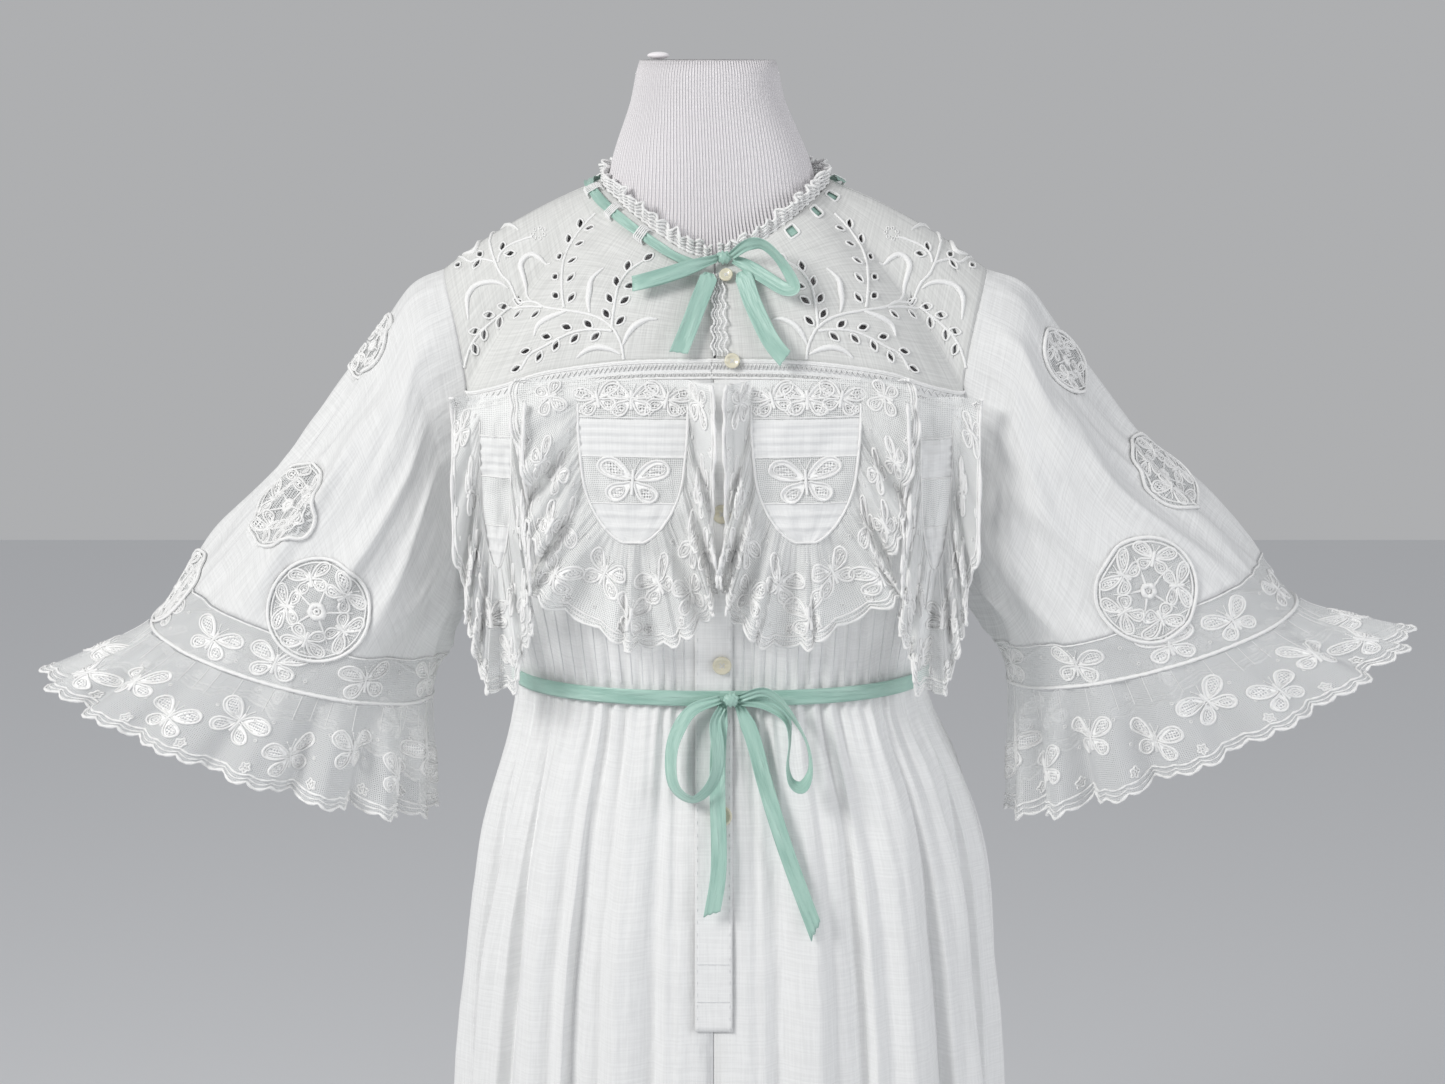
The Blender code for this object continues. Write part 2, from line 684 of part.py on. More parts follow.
def frame_at(angle, share):
    """Matrix whose z leaves the yoke and whose x runs round the neck."""
    here = yoke_point(angle, share)
    along_x = (yoke_point(angle + 0.5, share) - here).normalized()
    up = yoke_point(angle, share + 0.01) - here
    out = along_x.cross(up).normalized()
    up = out.cross(along_x)
    turned = Matrix((along_x, up, out)).transposed().to_4x4()
    return Matrix.Translation(here) @ turned


YOKE_FRONT = [1.5] + spread(9.0, 89.8, 10)
YOKE_BACK = spread(90.2, 269.8, 18)


def eyelet_cutter(name, side):
    bm = bmesh.new()
    for angle, share, turn, length in EYELETS:
        spot = frame_at(side * angle, share)
        spin = Matrix.Rotation(math.radians(side * turn), 4, "Z")
        size = Matrix.Diagonal((length / 2, length * 0.27, 1.0, 1.0))
        bmesh.ops.create_cone(
            bm,
            cap_ends=True,
            segments=4,
            radius1=1.0,
            radius2=1.0,
            depth=0.008,
            matrix=spot @ spin @ size,
        )
    if side > 0:
        for angle in SLOTS:
            size = Matrix.Diagonal((0.0040, 0.0042, 0.008, 1.0))
            spot = frame_at(angle, share_under_neck(angle, SLOT_DOWN))
            bmesh.ops.create_cube(bm, size=2.0, matrix=spot @ size)
    return cutter(name, bm)


for side, tag in ((1, "l"), (-1, "r")):
    made = sheet(
        "yoke_front_" + tag,
        [side * angle for angle in YOKE_FRONT],
        spread(0.0, 1.0, 5),
        yoke_point,
        CLOTH,
        SHEER,
        other_side=side < 0,
    )
    cut(made, eyelet_cutter("eyelets_" + tag, side), "DIFFERENCE")
sheet("yoke_back", YOKE_BACK, spread(0.0, 1.0, 5), yoke_point, CLOTH, SHEER)

# Crinkled lace at the neck and down the front opening
NECK_LACE = 0.009


def neck_lace(turn, up):
    degrees = 2.0 + turn * 356.0
    foot = yoke_point(degrees, 1.0)
    x, y, _ = along(NECK, fold_back(degrees))
    outward = Vector((foot.x, foot.y, 0.0)).normalized()
    wave = 0.0016 * math.sin(turn * NECK_WAVES * 2 * math.pi)
    lean = -0.002 * up + wave * (0.3 + 0.7 * up)
    return foot + outward * lean + Vector((0.0, 0.0, 0.0006 + NECK_LACE * up))


sheet(
    "neck_lace",
    [0.0] + [(step + 0.5) / (2 * NECK_WAVES) for step in range(2 * NECK_WAVES)] + [1.0],
    [0.0, 1.0],
    neck_lace,
    0.0010,
    NET,
)


def opening_lace(across, share):
    x = 0.003 + 0.0050 * across
    angle = math.degrees(math.atan2(x, 0.105))
    wave = 0.0006 * math.sin(share * 8 * math.pi)
    return yoke_point(angle, share, 0.0006 + LACE + wave + 0.0006)


sheet("opening_lace", [-1.0, 0.0, 1.0], spread(0.02, 0.84, 8), opening_lace, LACE, NET)

# Buttoned strip of the front
PLACKET_LEVELS = (1.0, 2.0, 10 + WAIST_Z, 10.975, 10.90, 10.78, 10 + PLACKET_END_Z)


def placket(across, level):
    z = level - 10 if level > 2 else 1.15
    half, front, back, lean, _, _ = along(BODY, z)
    degrees = math.degrees(math.atan2(CENTRE_X + across * PLACKET / 2 - lean, front))
    if level < 0.05:
        return body_point(degrees, 0.02, 0.0, FRONT_FOLDS, 5, LIFT + CLOTH)
    return body_point(degrees, level, 0.0, FRONT_FOLDS, 5, LIFT + CLOTH)


sheet("placket", [-1.0, 0.0, 1.0], ([0.04] + list(PLACKET_LEVELS))[::-1], placket, CLOTH, LAWN)


# Buttons
def button(name, z, size, gap):
    bm = bmesh.new()
    if z > 1.28:
        share = (z - 1.290) / (1.362 - 1.290)
        spot = frame_at(6.2, max(share, -0.02))
        rise = 0.0006 + LACE + gap
    else:
        front = along(BODY, z)[1] if z < ARM_Z else body_point(1.5, 2 * (1.276 - z) / 0.176, 0.0, 1, 1)
        depth = front if isinstance(front, float) else -front.y
        ahead = Matrix.Rotation(math.pi / 2, 4, "X")
        spot = Matrix.Translation((BUTTON_X, -depth, z)) @ ahead
        rise = LIFT + CLOTH + gap
    move = Matrix.Translation((0.0, 0.0, rise + 0.0012))
    bmesh.ops.create_cone(
        bm,
        cap_ends=True,
        segments=12,
        radius1=size / 2,
        radius2=size / 2 * 0.86,
        depth=0.0024,
        matrix=spot @ move,
    )
    finish(name, bm, PEARL)


for row in BUTTONS:
    button(*row)

# Bertha
for unit in UNITS:
    turned = (unit[1] * unit[2]) < 0
    sheet(
        "tongue_" + unit[0],
        spread(-1.0, 1.0, 6) if unit[4] > 0.02 else spread(-1.0, 1.0, 4),
        spread(0.0, 1.0, 4),
        lambda across, down: tongue_point(unit, across, down),
        CLOTH,
        LAWN,
        other_side=not turned,
    )
    sheet(
        "frill_" + unit[0],
        spread(0.0, 1.0, FRILL_WAVES * 3),
        [0.0, 0.5, 1.0],
        lambda t, r: frill_point(unit, t, r),
        LACE,
        NET,
        other_side=not turned,
    )

# Sleeves, insertion bands, gathered lace and medallions
SLEEVE_TURNS = spread(0.0, 360.0, SLEEVE_FOLDS * 4)
for table, side, tag in ((SLEEVE_L, 1, "l"), (SLEEVE_R, -1, "r")):
    sheet(
        "sleeve_" + tag,
        SLEEVE_TURNS,
        [0.0, 1.0, 2.0, 3.0, 4.0, 4.99],
        lambda turn, station: sleeve_point(table, side, station, turn),
        CLOTH,
        LAWN,
        ring_round=True,
        other_side=side < 0,
    )
    sheet(
        "sleeve_band_" + tag,
        SLEEVE_TURNS,
        [5.0, 5.975],
        lambda turn, station: sleeve_point(table, side, station, turn),
        LACE,
        NET,
        ring_round=True,
        other_side=side < 0,
    )
    sheet(
        "sleeve_frill_" + tag,
        spread(0.0, 360.0, SLEEVE_FRILL_WAVES * 3),
        [6.008, 7.0, 8.0],
        lambda turn, station: sleeve_point(table, side, station, turn, 0.0, SLEEVE_FRILL_WAVES),
        LACE,
        NET,
        ring_round=True,
        other_side=side < 0,
    )


def medallion(name, side, station, turn, radius):
    table = SLEEVE_L if side > 0 else SLEEVE_R
    turns = [t for t in spread(turn // 9 * 9 - 45.0, turn // 9 * 9 + 54.0, 11)]
    stations = [s for s in (0.0, 1.0, 2.0, 3.0, 4.0, 5.0, 6.0) if abs(s - station) < 2.0]
    made = sheet(
        name,
        turns,
        stations,
        lambda t, s: sleeve_point(table, side, s, t, 0.0011 + LACE),
        LACE,
        NET,
        other_side=side < 0,
    )
    here = sleeve_point(table, side, station, turn)
    round_it = sleeve_point(table, side, station, turn + 12) - sleeve_point(table, side, station, turn - 12)
    down_it = sleeve_point(table, side, station + 0.3, turn) - sleeve_point(table, side, station - 0.3, turn)
    out = round_it.cross(down_it).normalized()
    across = round_it.normalized()
    turned = Matrix((across, out.cross(across), out)).transposed().to_4x4()
    bm = bmesh.new()
    bmesh.ops.create_cone(
        bm,
        cap_ends=True,
        segments=14,
        radius1=radius,
        radius2=radius,
        depth=0.05,
        matrix=Matrix.Translation(here) @ turned,
    )
    cut(made, cutter("round_" + name, bm), "INTERSECT")


for row in MEDALLIONS:
    medallion(*row)


# Ribbons
def strip(name, table, base, steps, width=RIBBON_WIDTH, level=False):
    """Ribbon strip along a table of places in front of the cloth, by its lean.

    A level loop lies in a plane like a shelf, so its width stays upright all round.
    """
    keyed = [(float(row), *values) for row, values in enumerate(table)]
    count = len(keyed) - 1

    def place(run, across):
        x, out, z, lean = along(keyed, run * count)
        before = along(keyed, max(run * count - 0.05, 0.0))
        after = along(keyed, min(run * count + 0.05, count))
        way = Vector((after[0] - before[0], 0.0, after[2] - before[2])).normalized()
        normal = Vector((0.0, 0.0, 1.0)) if level else Vector((way.z, 0.0, -way.x))
        tilt = math.radians(lean)
        width_way = Vector((0.0, math.cos(tilt), 0.0)) + normal * math.sin(tilt)
        middle = Vector((x, base(x, z) - out, z))
        return middle + width_way * (across * width / 2)

    return sheet(name, spread(0.0, 1.0, steps), [-1.0, 1.0], place, RIBBON, MINT, offset=0.0)


def skirt_front(x, z):
    swell = along(BODY, z)
    return -(front_y(x, z)[0] + swell[4] + swell[5])


def yoke_front(x, z):
    return -0.096 - 0.42 * max(1.360 - z, 0.0)


def knot(name, place, size):
    bm = bmesh.new()
    scale = Matrix.Diagonal((size[0], size[1], size[2], 1.0))
    move = Matrix.Translation(place)
    bmesh.ops.create_uvsphere(bm, u_segments=8, v_segments=6, radius=0.5, matrix=move @ scale)
    finish(name, bm, MINT)


sheet(
    "waist_ribbon",
    spread(0.0, 360.0, 40),
    [WAIST_Z - RIBBON_WIDTH / 2, WAIST_Z + RIBBON_WIDTH / 2],
    lambda angle, z: ring(angle, WAIST_Z, 0.0060) + Vector((0.0, 0.0, z - WAIST_Z)),
    RIBBON,
    MINT,
    ring_round=True,
)
strip("waist_loop_r", WAIST_LOOP_R, skirt_front, 14)
strip("waist_loop_l", WAIST_LOOP_L, skirt_front, 14)
strip("waist_tail_r", WAIST_TAIL_R, skirt_front, 6)
strip("waist_tail_l", WAIST_TAIL_L, skirt_front, 6)
knot("waist_knot", (0.0130, -0.1358, 1.0200), (0.012, 0.009, 0.011))

sheet(
    "neck_ribbon",
    YOKE_BACK[:-1] + [360.0 - angle for angle in YOKE_FRONT[::-1]][:-1] + [352.5],
    [0.0135, 0.0035],
    lambda angle, down: neck_ribbon_point(angle, down, 0.0026 + RIBBON),
    RIBBON,
    MINT,
)
sheet(
    "neck_ribbon_under",
    [6.0] + YOKE_FRONT[1:-2] + [80.5],
    [0.0135, 0.0035],
    lambda angle, down: neck_ribbon_point(angle, down, -CLOTH - 0.0024),
    RIBBON,
    MINT,
)
strip("neck_loop_r", NECK_LOOP_R, yoke_front, 12, 0.0120, level=True)
strip("neck_loop_l", NECK_LOOP_L, yoke_front, 12, 0.0120)
strip("neck_tail_r", NECK_TAIL_R, yoke_front, 6, 0.0140)
strip("neck_tail_l", NECK_TAIL_L, yoke_front, 6, 0.0140)
knot("neck_knot", (0.0070, -0.0932, 1.3665), (0.013, 0.008, 0.010))


# Dress form and its stand
def form_point(turn, z):
    half, front, back = along(FORM, z)
    angle = math.radians(turn)
    ahead = math.cos(angle)
    deep = front if ahead > 0 else back
    square = 2.2
    reach = abs(math.sin(angle) / half) ** square + abs(ahead / deep) ** square
    radius = reach ** (-1 / square)
    lean = -0.003 * min(max((z - 1.36) / 0.06, 0.0), 1.0) - 0.003 * min(max((z - 1.43) / 0.06, 0.0), 1.0)
    return Vector((radius * math.sin(angle) + lean, -radius * ahead, z))


FORM_COLUMNS = 20
FORM_LEVELS = [row[0] for row in FORM]
bm = bmesh.new()
bmesh.ops.create_cone(
    bm, cap_ends=True, segments=FORM_COLUMNS, radius1=1.0, radius2=1.0, depth=2.0
)
upright = [edge for edge in bm.edges if abs(edge.verts[0].co.z - edge.verts[1].co.z) > 1]
bmesh.ops.subdivide_edges(bm, edges=upright, cuts=len(FORM_LEVELS) - 2, use_grid_fill=True)
for vert in bm.verts:
    turn = math.degrees(math.atan2(vert.co.x, -vert.co.y))
    level = round((vert.co.z + 1) / 2 * (len(FORM_LEVELS) - 1))
    vert.co = form_point(turn, FORM_LEVELS[level])
finish("form_torso", bm, JERSEY)

POLE_RADIUS = 0.0125
BASE_RADIUS = 0.170
BASE_HEIGHT = 0.020
bm = bmesh.new()
pole_length = FORM_LEVELS[0] - BASE_HEIGHT - 0.0006
bmesh.ops.create_cone(
    bm,
    cap_ends=True,
    segments=16,
    radius1=POLE_RADIUS,
    radius2=POLE_RADIUS,
    depth=pole_length,
    matrix=Matrix.Translation((0.0, 0.0, BASE_HEIGHT + 0.0003 + pole_length / 2)),
)
finish("form_pole", bm, ((0.55, 0.55, 0.56), 0.30, 1.0))
bm = bmesh.new()
bmesh.ops.create_cone(
    bm,
    cap_ends=True,
    segments=32,
    radius1=BASE_RADIUS,
    radius2=BASE_RADIUS - 0.006,
    depth=BASE_HEIGHT,
    matrix=Matrix.Translation((0.0, 0.0, BASE_HEIGHT / 2)),
)
finish("form_base", bm, STAND)
bm = bmesh.new()
bmesh.ops.create_uvsphere(
    bm,
    u_segments=10,
    v_segments=6,
    radius=0.5,
    matrix=Matrix.Translation((-0.046, 0.010, 1.5215)) @ Matrix.Diagonal((0.018, 0.012, 0.006, 1.0)),
)
finish("form_knob", bm, JERSEY)
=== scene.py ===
# %% [markdown]
# # Cotton dress with a lace bertha, on its dress form
#
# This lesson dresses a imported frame. The frame holds plain closed solids, one for each cut piece, and
# every piece here is laid over its own solid with the real cloth, lace, embroidery and ribbon.

import math
from collections import namedtuple
from types import SimpleNamespace

import bmesh
import bpy
import numpy
from mathutils import Matrix, Vector, noise


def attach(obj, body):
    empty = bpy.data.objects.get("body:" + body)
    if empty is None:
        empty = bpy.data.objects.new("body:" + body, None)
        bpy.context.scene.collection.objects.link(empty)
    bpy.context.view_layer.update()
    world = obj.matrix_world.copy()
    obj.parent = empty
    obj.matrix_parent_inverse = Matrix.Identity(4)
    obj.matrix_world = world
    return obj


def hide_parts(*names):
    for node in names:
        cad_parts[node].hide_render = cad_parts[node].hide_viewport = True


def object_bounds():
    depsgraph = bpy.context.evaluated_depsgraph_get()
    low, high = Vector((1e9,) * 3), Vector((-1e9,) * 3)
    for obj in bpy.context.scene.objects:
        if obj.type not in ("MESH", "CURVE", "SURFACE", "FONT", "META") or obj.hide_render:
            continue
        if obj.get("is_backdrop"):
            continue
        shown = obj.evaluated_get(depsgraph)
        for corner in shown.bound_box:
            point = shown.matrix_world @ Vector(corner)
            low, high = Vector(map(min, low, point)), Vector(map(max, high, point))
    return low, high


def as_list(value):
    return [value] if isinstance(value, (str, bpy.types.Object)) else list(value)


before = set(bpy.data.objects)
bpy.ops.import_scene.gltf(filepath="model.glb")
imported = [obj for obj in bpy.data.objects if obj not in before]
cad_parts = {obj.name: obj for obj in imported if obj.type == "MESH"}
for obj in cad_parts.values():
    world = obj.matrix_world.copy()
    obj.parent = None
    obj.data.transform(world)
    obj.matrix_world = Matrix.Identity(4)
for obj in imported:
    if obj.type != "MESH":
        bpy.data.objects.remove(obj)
cad_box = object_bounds()
print("frame box", [[round(value, 3) for value in corner] for corner in cad_box])

# %% [markdown]
# ## Sizes of the pattern
#
# A dressmaker keeps one set of measures for the whole garment. These tables give the body, the neck,
# the sleeves and the bertha by height or angle, so that every layer of cloth can be laid on one shape.

# %% Measures in metres
CLOTH = 0.0015
RIBBON = 0.0010
SEAM = 0.0004
FRILL_SEAM = 0.0013
LIFT = 0.0005
HEM_Z = 0.110
WAIST_Z = 1.020
ARM_Z = 1.100
CHEST_Z = 1.150
BUST_Z = 1.190
PLACKET_END_Z = 0.762
BAND = 0.014
PLACKET = 0.030
CENTRE_X = -0.001
BUTTON_X = 0.0056
RIBBON_WIDTH = 0.0125
NECK_RIBBON_WIDTH = 0.010
NARROW_LACE = 0.010
SLEEVE_BAND = 0.042
OFF_CLOTH = 0.0004  # how far the middle of a cord stands off the cloth it is sewn to
BROAD = 0.020  # half width over which a tongue is a broad one
TURN_X = 0.165  # where the chest turns to the side, and the bertha hangs on slanting
MOTIF_REACH = 0.040  # no motif reaches further from its middle

# %% Flat cuts, width by length in metres
FRONT_CUT = (0.62, 1.20)
BACK_CUT = (1.15, 1.20)
YOKE_FRONT_CUT = (0.23, 0.15)
YOKE_BACK_CUT = (0.45, 0.16)
SLEEVE_CUT = (0.69, 0.34)

# %% Counts, shares and angles of the pattern
SQUARE = 2.5  # 2 would make the body's rings ellipses
BY_HEIGHT = 10.0  # added to a height, to tell it from the shares 0 to 2 above ARM_Z
FRONT_FOLDS = 14
BACK_FOLDS = 18
SLEEVE_FRILL_WAVES = 16
FRILL_WAVES = 8
PRESSED = (0.36, 0.58, 0.75, 0.88)  # shares of a front's width with a pressed pleat
ARM_FRONT = 70.0  # degrees from the front at which the armhole begins and ends
ARM_BACK = 110.0
STRAIGHT, ROUNDED = 0.58, 0.42  # shares of a tongue's drop with straight and with rounded sides
NEARLY_ROUND = 6.2  # radians, just short of a full turn

# %% Tables of the pattern
# Height: half width, front depth, back depth, lean to +X, gather depth, swell
BODY = (
    (0.110, 0.276, 0.242, 0.232, 0.012, 0.0030, 0.0150),
    (0.450, 0.249, 0.212, 0.204, 0.012, 0.0030, 0.0120),
    (0.644, 0.232, 0.195, 0.187, 0.012, 0.0035, 0.0100),
    (0.810, 0.217, 0.179, 0.170, 0.013, 0.0040, 0.0070),
    (0.872, 0.208, 0.168, 0.157, 0.014, 0.0040, 0.0050),
    (0.934, 0.192, 0.152, 0.136, 0.012, 0.0040, 0.0030),
    (0.985, 0.174, 0.134, 0.110, 0.006, 0.0030, 0.0010),
    (1.020, 0.169, 0.125, 0.098, 0.004, 0.0014, 0.0000),
    (1.060, 0.178, 0.128, 0.102, 0.002, 0.0012, 0.0000),
    (1.100, 0.190, 0.131, 0.108, 0.000, 0.0012, 0.0000),
    (1.150, 0.203, 0.134, 0.113, 0.000, 0.0010, 0.0000),
    (1.200, 0.214, 0.135, 0.117, 0.000, 0.0010, 0.0000),
    (1.250, 0.219, 0.131, 0.119, 0.000, 0.0006, 0.0000),
    (1.300, 0.222, 0.121, 0.118, 0.000, 0.0004, 0.0000),
)
# Angle from the front: height of the band under the yoke
BAND_LINE = (
    (0.0, 1.283), (30.0, 1.281), (50.0, 1.272), (62.0, 1.257), (70.0, 1.249), (110.0, 1.249),
    (118.0, 1.262), (135.0, 1.284), (180.0, 1.296),
)
# Angle from the front: x, y and z of the neck seam
NECK = (
    (0.0, 0.000, -0.087, 1.362),
    (20.0, 0.026, -0.084, 1.372),
    (40.0, 0.051, -0.072, 1.388),
    (60.0, 0.073, -0.051, 1.404),
    (90.0, 0.0925, 0.000, 1.421),
    (120.0, 0.077, 0.046, 1.425),
    (150.0, 0.044, 0.069, 1.425),
    (180.0, 0.000, 0.077, 1.425),
)
# Angle from the front: how far the yoke rounds out
YOKE_ROUND = (
    (0.0, 0.004), (45.0, 0.010), (78.0, 0.009), (90.0, 0.006), (102.0, 0.009), (135.0, 0.012),
    (180.0, 0.008),
)
# Station down the sleeve: top x and z, underarm x and z, front, back, fold depth
SLEEVE_R = (
    (0.0, 0.2215, 1.350, 0.2015, 1.152, 0.066, 0.062, 0.0000),
    (1.0, 0.2510, 1.333, 0.2040, 1.130, 0.080, 0.078, 0.0020),
    (2.0, 0.2830, 1.280, 0.2060, 1.104, 0.092, 0.088, 0.0040),
    (3.0, 0.3370, 1.206, 0.2100, 1.080, 0.100, 0.094, 0.0050),
    (4.0, 0.3900, 1.149, 0.2200, 1.056, 0.104, 0.097, 0.0050),
    (5.0, 0.4380, 1.094, 0.2320, 1.029, 0.106, 0.099, 0.0040),
    (6.0, 0.4720, 1.056, 0.2395, 0.990, 0.106, 0.100, 0.0015),
    (7.0, 0.5150, 1.030, 0.2405, 0.942, 0.109, 0.102, 0.0060),
    (8.0, 0.5560, 1.009, 0.2415, 0.893, 0.112, 0.104, 0.0090),
)
SLEEVE_L = (
    (0.0, 0.2215, 1.350, 0.2015, 1.152, 0.066, 0.062, 0.0000),
    (1.0, 0.2550, 1.333, 0.2045, 1.130, 0.080, 0.078, 0.0020),
    (2.0, 0.2870, 1.284, 0.2075, 1.106, 0.092, 0.088, 0.0040),
    (3.0, 0.3400, 1.214, 0.2140, 1.088, 0.100, 0.094, 0.0050),
    (4.0, 0.3980, 1.163, 0.2260, 1.066, 0.104, 0.097, 0.0050),
    (5.0, 0.4510, 1.110, 0.2400, 1.040, 0.106, 0.099, 0.0040),
    (6.0, 0.4870, 1.074, 0.2475, 1.003, 0.106, 0.100, 0.0015),
    (7.0, 0.5310, 1.057, 0.2500, 0.948, 0.109, 0.102, 0.0060),
    (8.0, 0.5760, 1.044, 0.2515, 0.891, 0.112, 0.104, 0.0090),
)
# Name, side of the wearer, station, angle round the sleeve, radius
MEDALLIONS = (
    ("medallion_front_r", -1, 4.40, 90.0, 0.042),
    ("medallion_top_r", -1, 3.50, 38.0, 0.040),
    ("medallion_head_r", -1, 1.90, 6.0, 0.030),
    ("medallion_outer_r", -1, 5.20, 6.0, 0.036),
    ("medallion_front_l", 1, 4.50, 80.0, 0.042),
    ("medallion_top_l", 1, 3.55, 14.0, 0.040),
    ("medallion_head_l", 1, 2.00, 18.0, 0.030),
)
# Side and face of the body; middle, half width and drop of the tongue; reach of the frill toward the
# middle, below and outward; distance from the chest at the tip and where it is sewn
Unit = namedtuple("Unit", "name side face mid half drop inner below outer stand sewn")
UNITS = (
    Unit("front_r", -1, 1, 0.064, 0.043, 0.128, 0.016, 0.076, 0.034, 0.006, 0.0021),
    Unit("front_l", 1, 1, 0.071, 0.043, 0.128, 0.016, 0.076, 0.028, 0.006, 0.0021),
    Unit("side_r", -1, 1, 0.173, 0.013, 0.136, 0.007, 0.092, 0.013, 0.013, 0.0018),
    Unit("side_l", 1, 1, 0.175, 0.013, 0.136, 0.007, 0.092, 0.013, 0.013, 0.0018),
    Unit("back_r", -1, -1, 0.066, 0.043, 0.128, 0.014, 0.076, 0.034, 0.006, 0.0021),
    Unit("back_l", 1, -1, 0.066, 0.043, 0.128, 0.014, 0.076, 0.034, 0.006, 0.0021),
)
# Name, height, diameter, gap behind it
BUTTONS = (
    ("button_neck", 1.3475, 0.011, 0.0018),
    ("button_band", 1.2880, 0.012, 0.0011),
    ("button_chest", 1.1700, 0.015, 0.0002),
    ("button_waist", 1.0470, 0.015, 0.0013),
    ("button_hip", 0.9300, 0.016, 0.0015),
)
# Height of the dress form: half width, front depth, back depth
FORM = (
    (0.780, 0.150, 0.112, 0.112),
    (0.800, 0.170, 0.126, 0.128),
    (0.860, 0.180, 0.132, 0.134),
    (0.940, 0.168, 0.122, 0.112),
    (1.020, 0.146, 0.104, 0.080),
    (1.090, 0.158, 0.113, 0.088),
    (1.160, 0.171, 0.120, 0.098),
    (1.220, 0.178, 0.118, 0.102),
    (1.280, 0.190, 0.106, 0.100),
    (1.320, 0.191, 0.092, 0.092),
    (1.342, 0.180, 0.080, 0.082),
    (1.360, 0.158, 0.070, 0.074),
    (1.376, 0.130, 0.064, 0.068),
    (1.392, 0.098, 0.060, 0.064),
    (1.410, 0.0875, 0.058, 0.062),
    (1.425, 0.0840, 0.057, 0.061),
    (1.446, 0.0780, 0.056, 0.059),
    (1.486, 0.0625, 0.053, 0.056),
    (1.508, 0.0580, 0.052, 0.054),
    (1.518, 0.0550, 0.049, 0.051),
)

# %% [markdown]
# ## One surface for each part of the garment
#
# Cloth is easiest to lay when its shape is a function of two numbers, such as an angle round the body
# and a height. A finer grid, a seam or an embroidered stem can then all use the same function.

# %% Smooth values from a table
def slope(table, row, column):
    low = max(row - 1, 0)
    high = min(row + 1, len(table) - 1)
    rise = table[high][column] - table[low][column]
    return rise / (table[high][0] - table[low][0])


def along(table, key):
    """Smooth values of a table's other columns at a key of its first."""
    row = 0
    while row < len(table) - 2 and key > table[row + 1][0]:
        row += 1
    span = table[row + 1][0] - table[row][0]
    t = (key - table[row][0]) / span
    t = min(max(t, 0.0), 1.0)
    values = []
    for column in range(1, len(table[0])):
        start = table[row][column]
        end = table[row + 1][column]
        lead = slope(table, row, column) * span
        trail = slope(table, row + 1, column) * span
        bend = (1 - t) * lead - t * trail
        ease = t * t * (3 - 2 * t)
        values.append(start + (end - start) * ease + t * (1 - t) * bend)
    return values


def fold_back(degrees):
    """Angle from the front on either side, 0 to 180."""
    turned = abs(degrees) % 360.0
    return 360.0 - turned if turned > 180.0 else turned


def side_of(degrees):
    """1 toward the wearer's left, which is +X, and -1 toward the right."""
    return 1.0 if (degrees % 360.0) < 180.0 else -1.0


# %% Body, armhole and seam line
def ring(degrees, z, out=0.0):
    """Point of the body's plain surface at an angle from the front, + toward +X."""
    half, front, back, lean, _, _ = along(BODY, z)
    side = math.sin(math.radians(degrees))
    ahead = math.cos(math.radians(degrees))
    depth = front if ahead > 0 else back
    reach = abs(side / half) ** SQUARE + abs(ahead / depth) ** SQUARE
    radius = reach ** (-1 / SQUARE)
    x = radius * side
    y = -radius * ahead
    nx = math.copysign(abs(x / half) ** (SQUARE - 1) / half, x)
    ny = math.copysign(abs(y / depth) ** (SQUARE - 1) / depth, y)
    size = math.hypot(nx, ny)
    return Vector((x + lean + out * nx / size, y + out * ny / size, z))


def front_y(x, z):
    """Depths of the body's plain surface, in front and behind, at a sideways place."""
    half, front, back, lean, _, _ = along(BODY, z)
    share = min(abs(x - lean) / half, 0.999)
    round_off = (1 - share**SQUARE) ** (1 / SQUARE)
    return front * round_off, back * round_off


def arm(degrees):
    """Armhole seam: 0 at the shoulder, 90 at the front, 180 under the arm. For +X."""
    turn = math.radians(degrees)
    deep = 0.066 if math.sin(turn) > 0 else 0.062
    x = 0.2050 + 0.0100 * math.cos(turn) + 0.0065 * math.cos(2 * turn)
    return Vector((x, -deep * math.sin(turn), 1.251 + 0.099 * math.cos(turn)))


def seam(degrees, up):
    """Seam line above (up=1) or below (up=-1) the band, then round the armhole."""
    place = fold_back(degrees)
    step = 4.0
    if ARM_FRONT <= place <= ARM_BACK:
        share = (place - ARM_FRONT) / (ARM_BACK - ARM_FRONT)
        low = 90.0 - step * up
        turn = low * (1 - 2 * share) if up > 0 else low + (360 - 2 * low) * share
        point = arm(turn)
        return Vector((point.x * side_of(degrees), point.y, point.z))
    z = along(BAND_LINE, place)[0] + up * (BAND / 2 + SEAM / 2)
    point = ring(degrees, z)
    near = ARM_FRONT if place < 90 else ARM_BACK
    blend = max(0.0, 1 - abs(place - near) / 12.0)
    turn = 90.0 - step * up if place < 90 else 270.0 + step * up
    target = arm(turn)
    target.x *= side_of(degrees)
    return point.lerp(target, blend * blend)


def panel_angle(share, z, side):
    """Angle of a share across a front panel; below zero is the flat strip at the buttons."""
    _, front, _, lean, _, _ = along(BODY, z)
    edge = CENTRE_X + side * (PLACKET / 2 + 0.0025) - lean
    flat = math.degrees(math.atan2(edge, front))
    if share < 0:
        middle = CENTRE_X + side * SEAM / 2 - lean
        return math.degrees(math.atan2(middle, front))
    return flat + (side * 90.0 - flat) * share


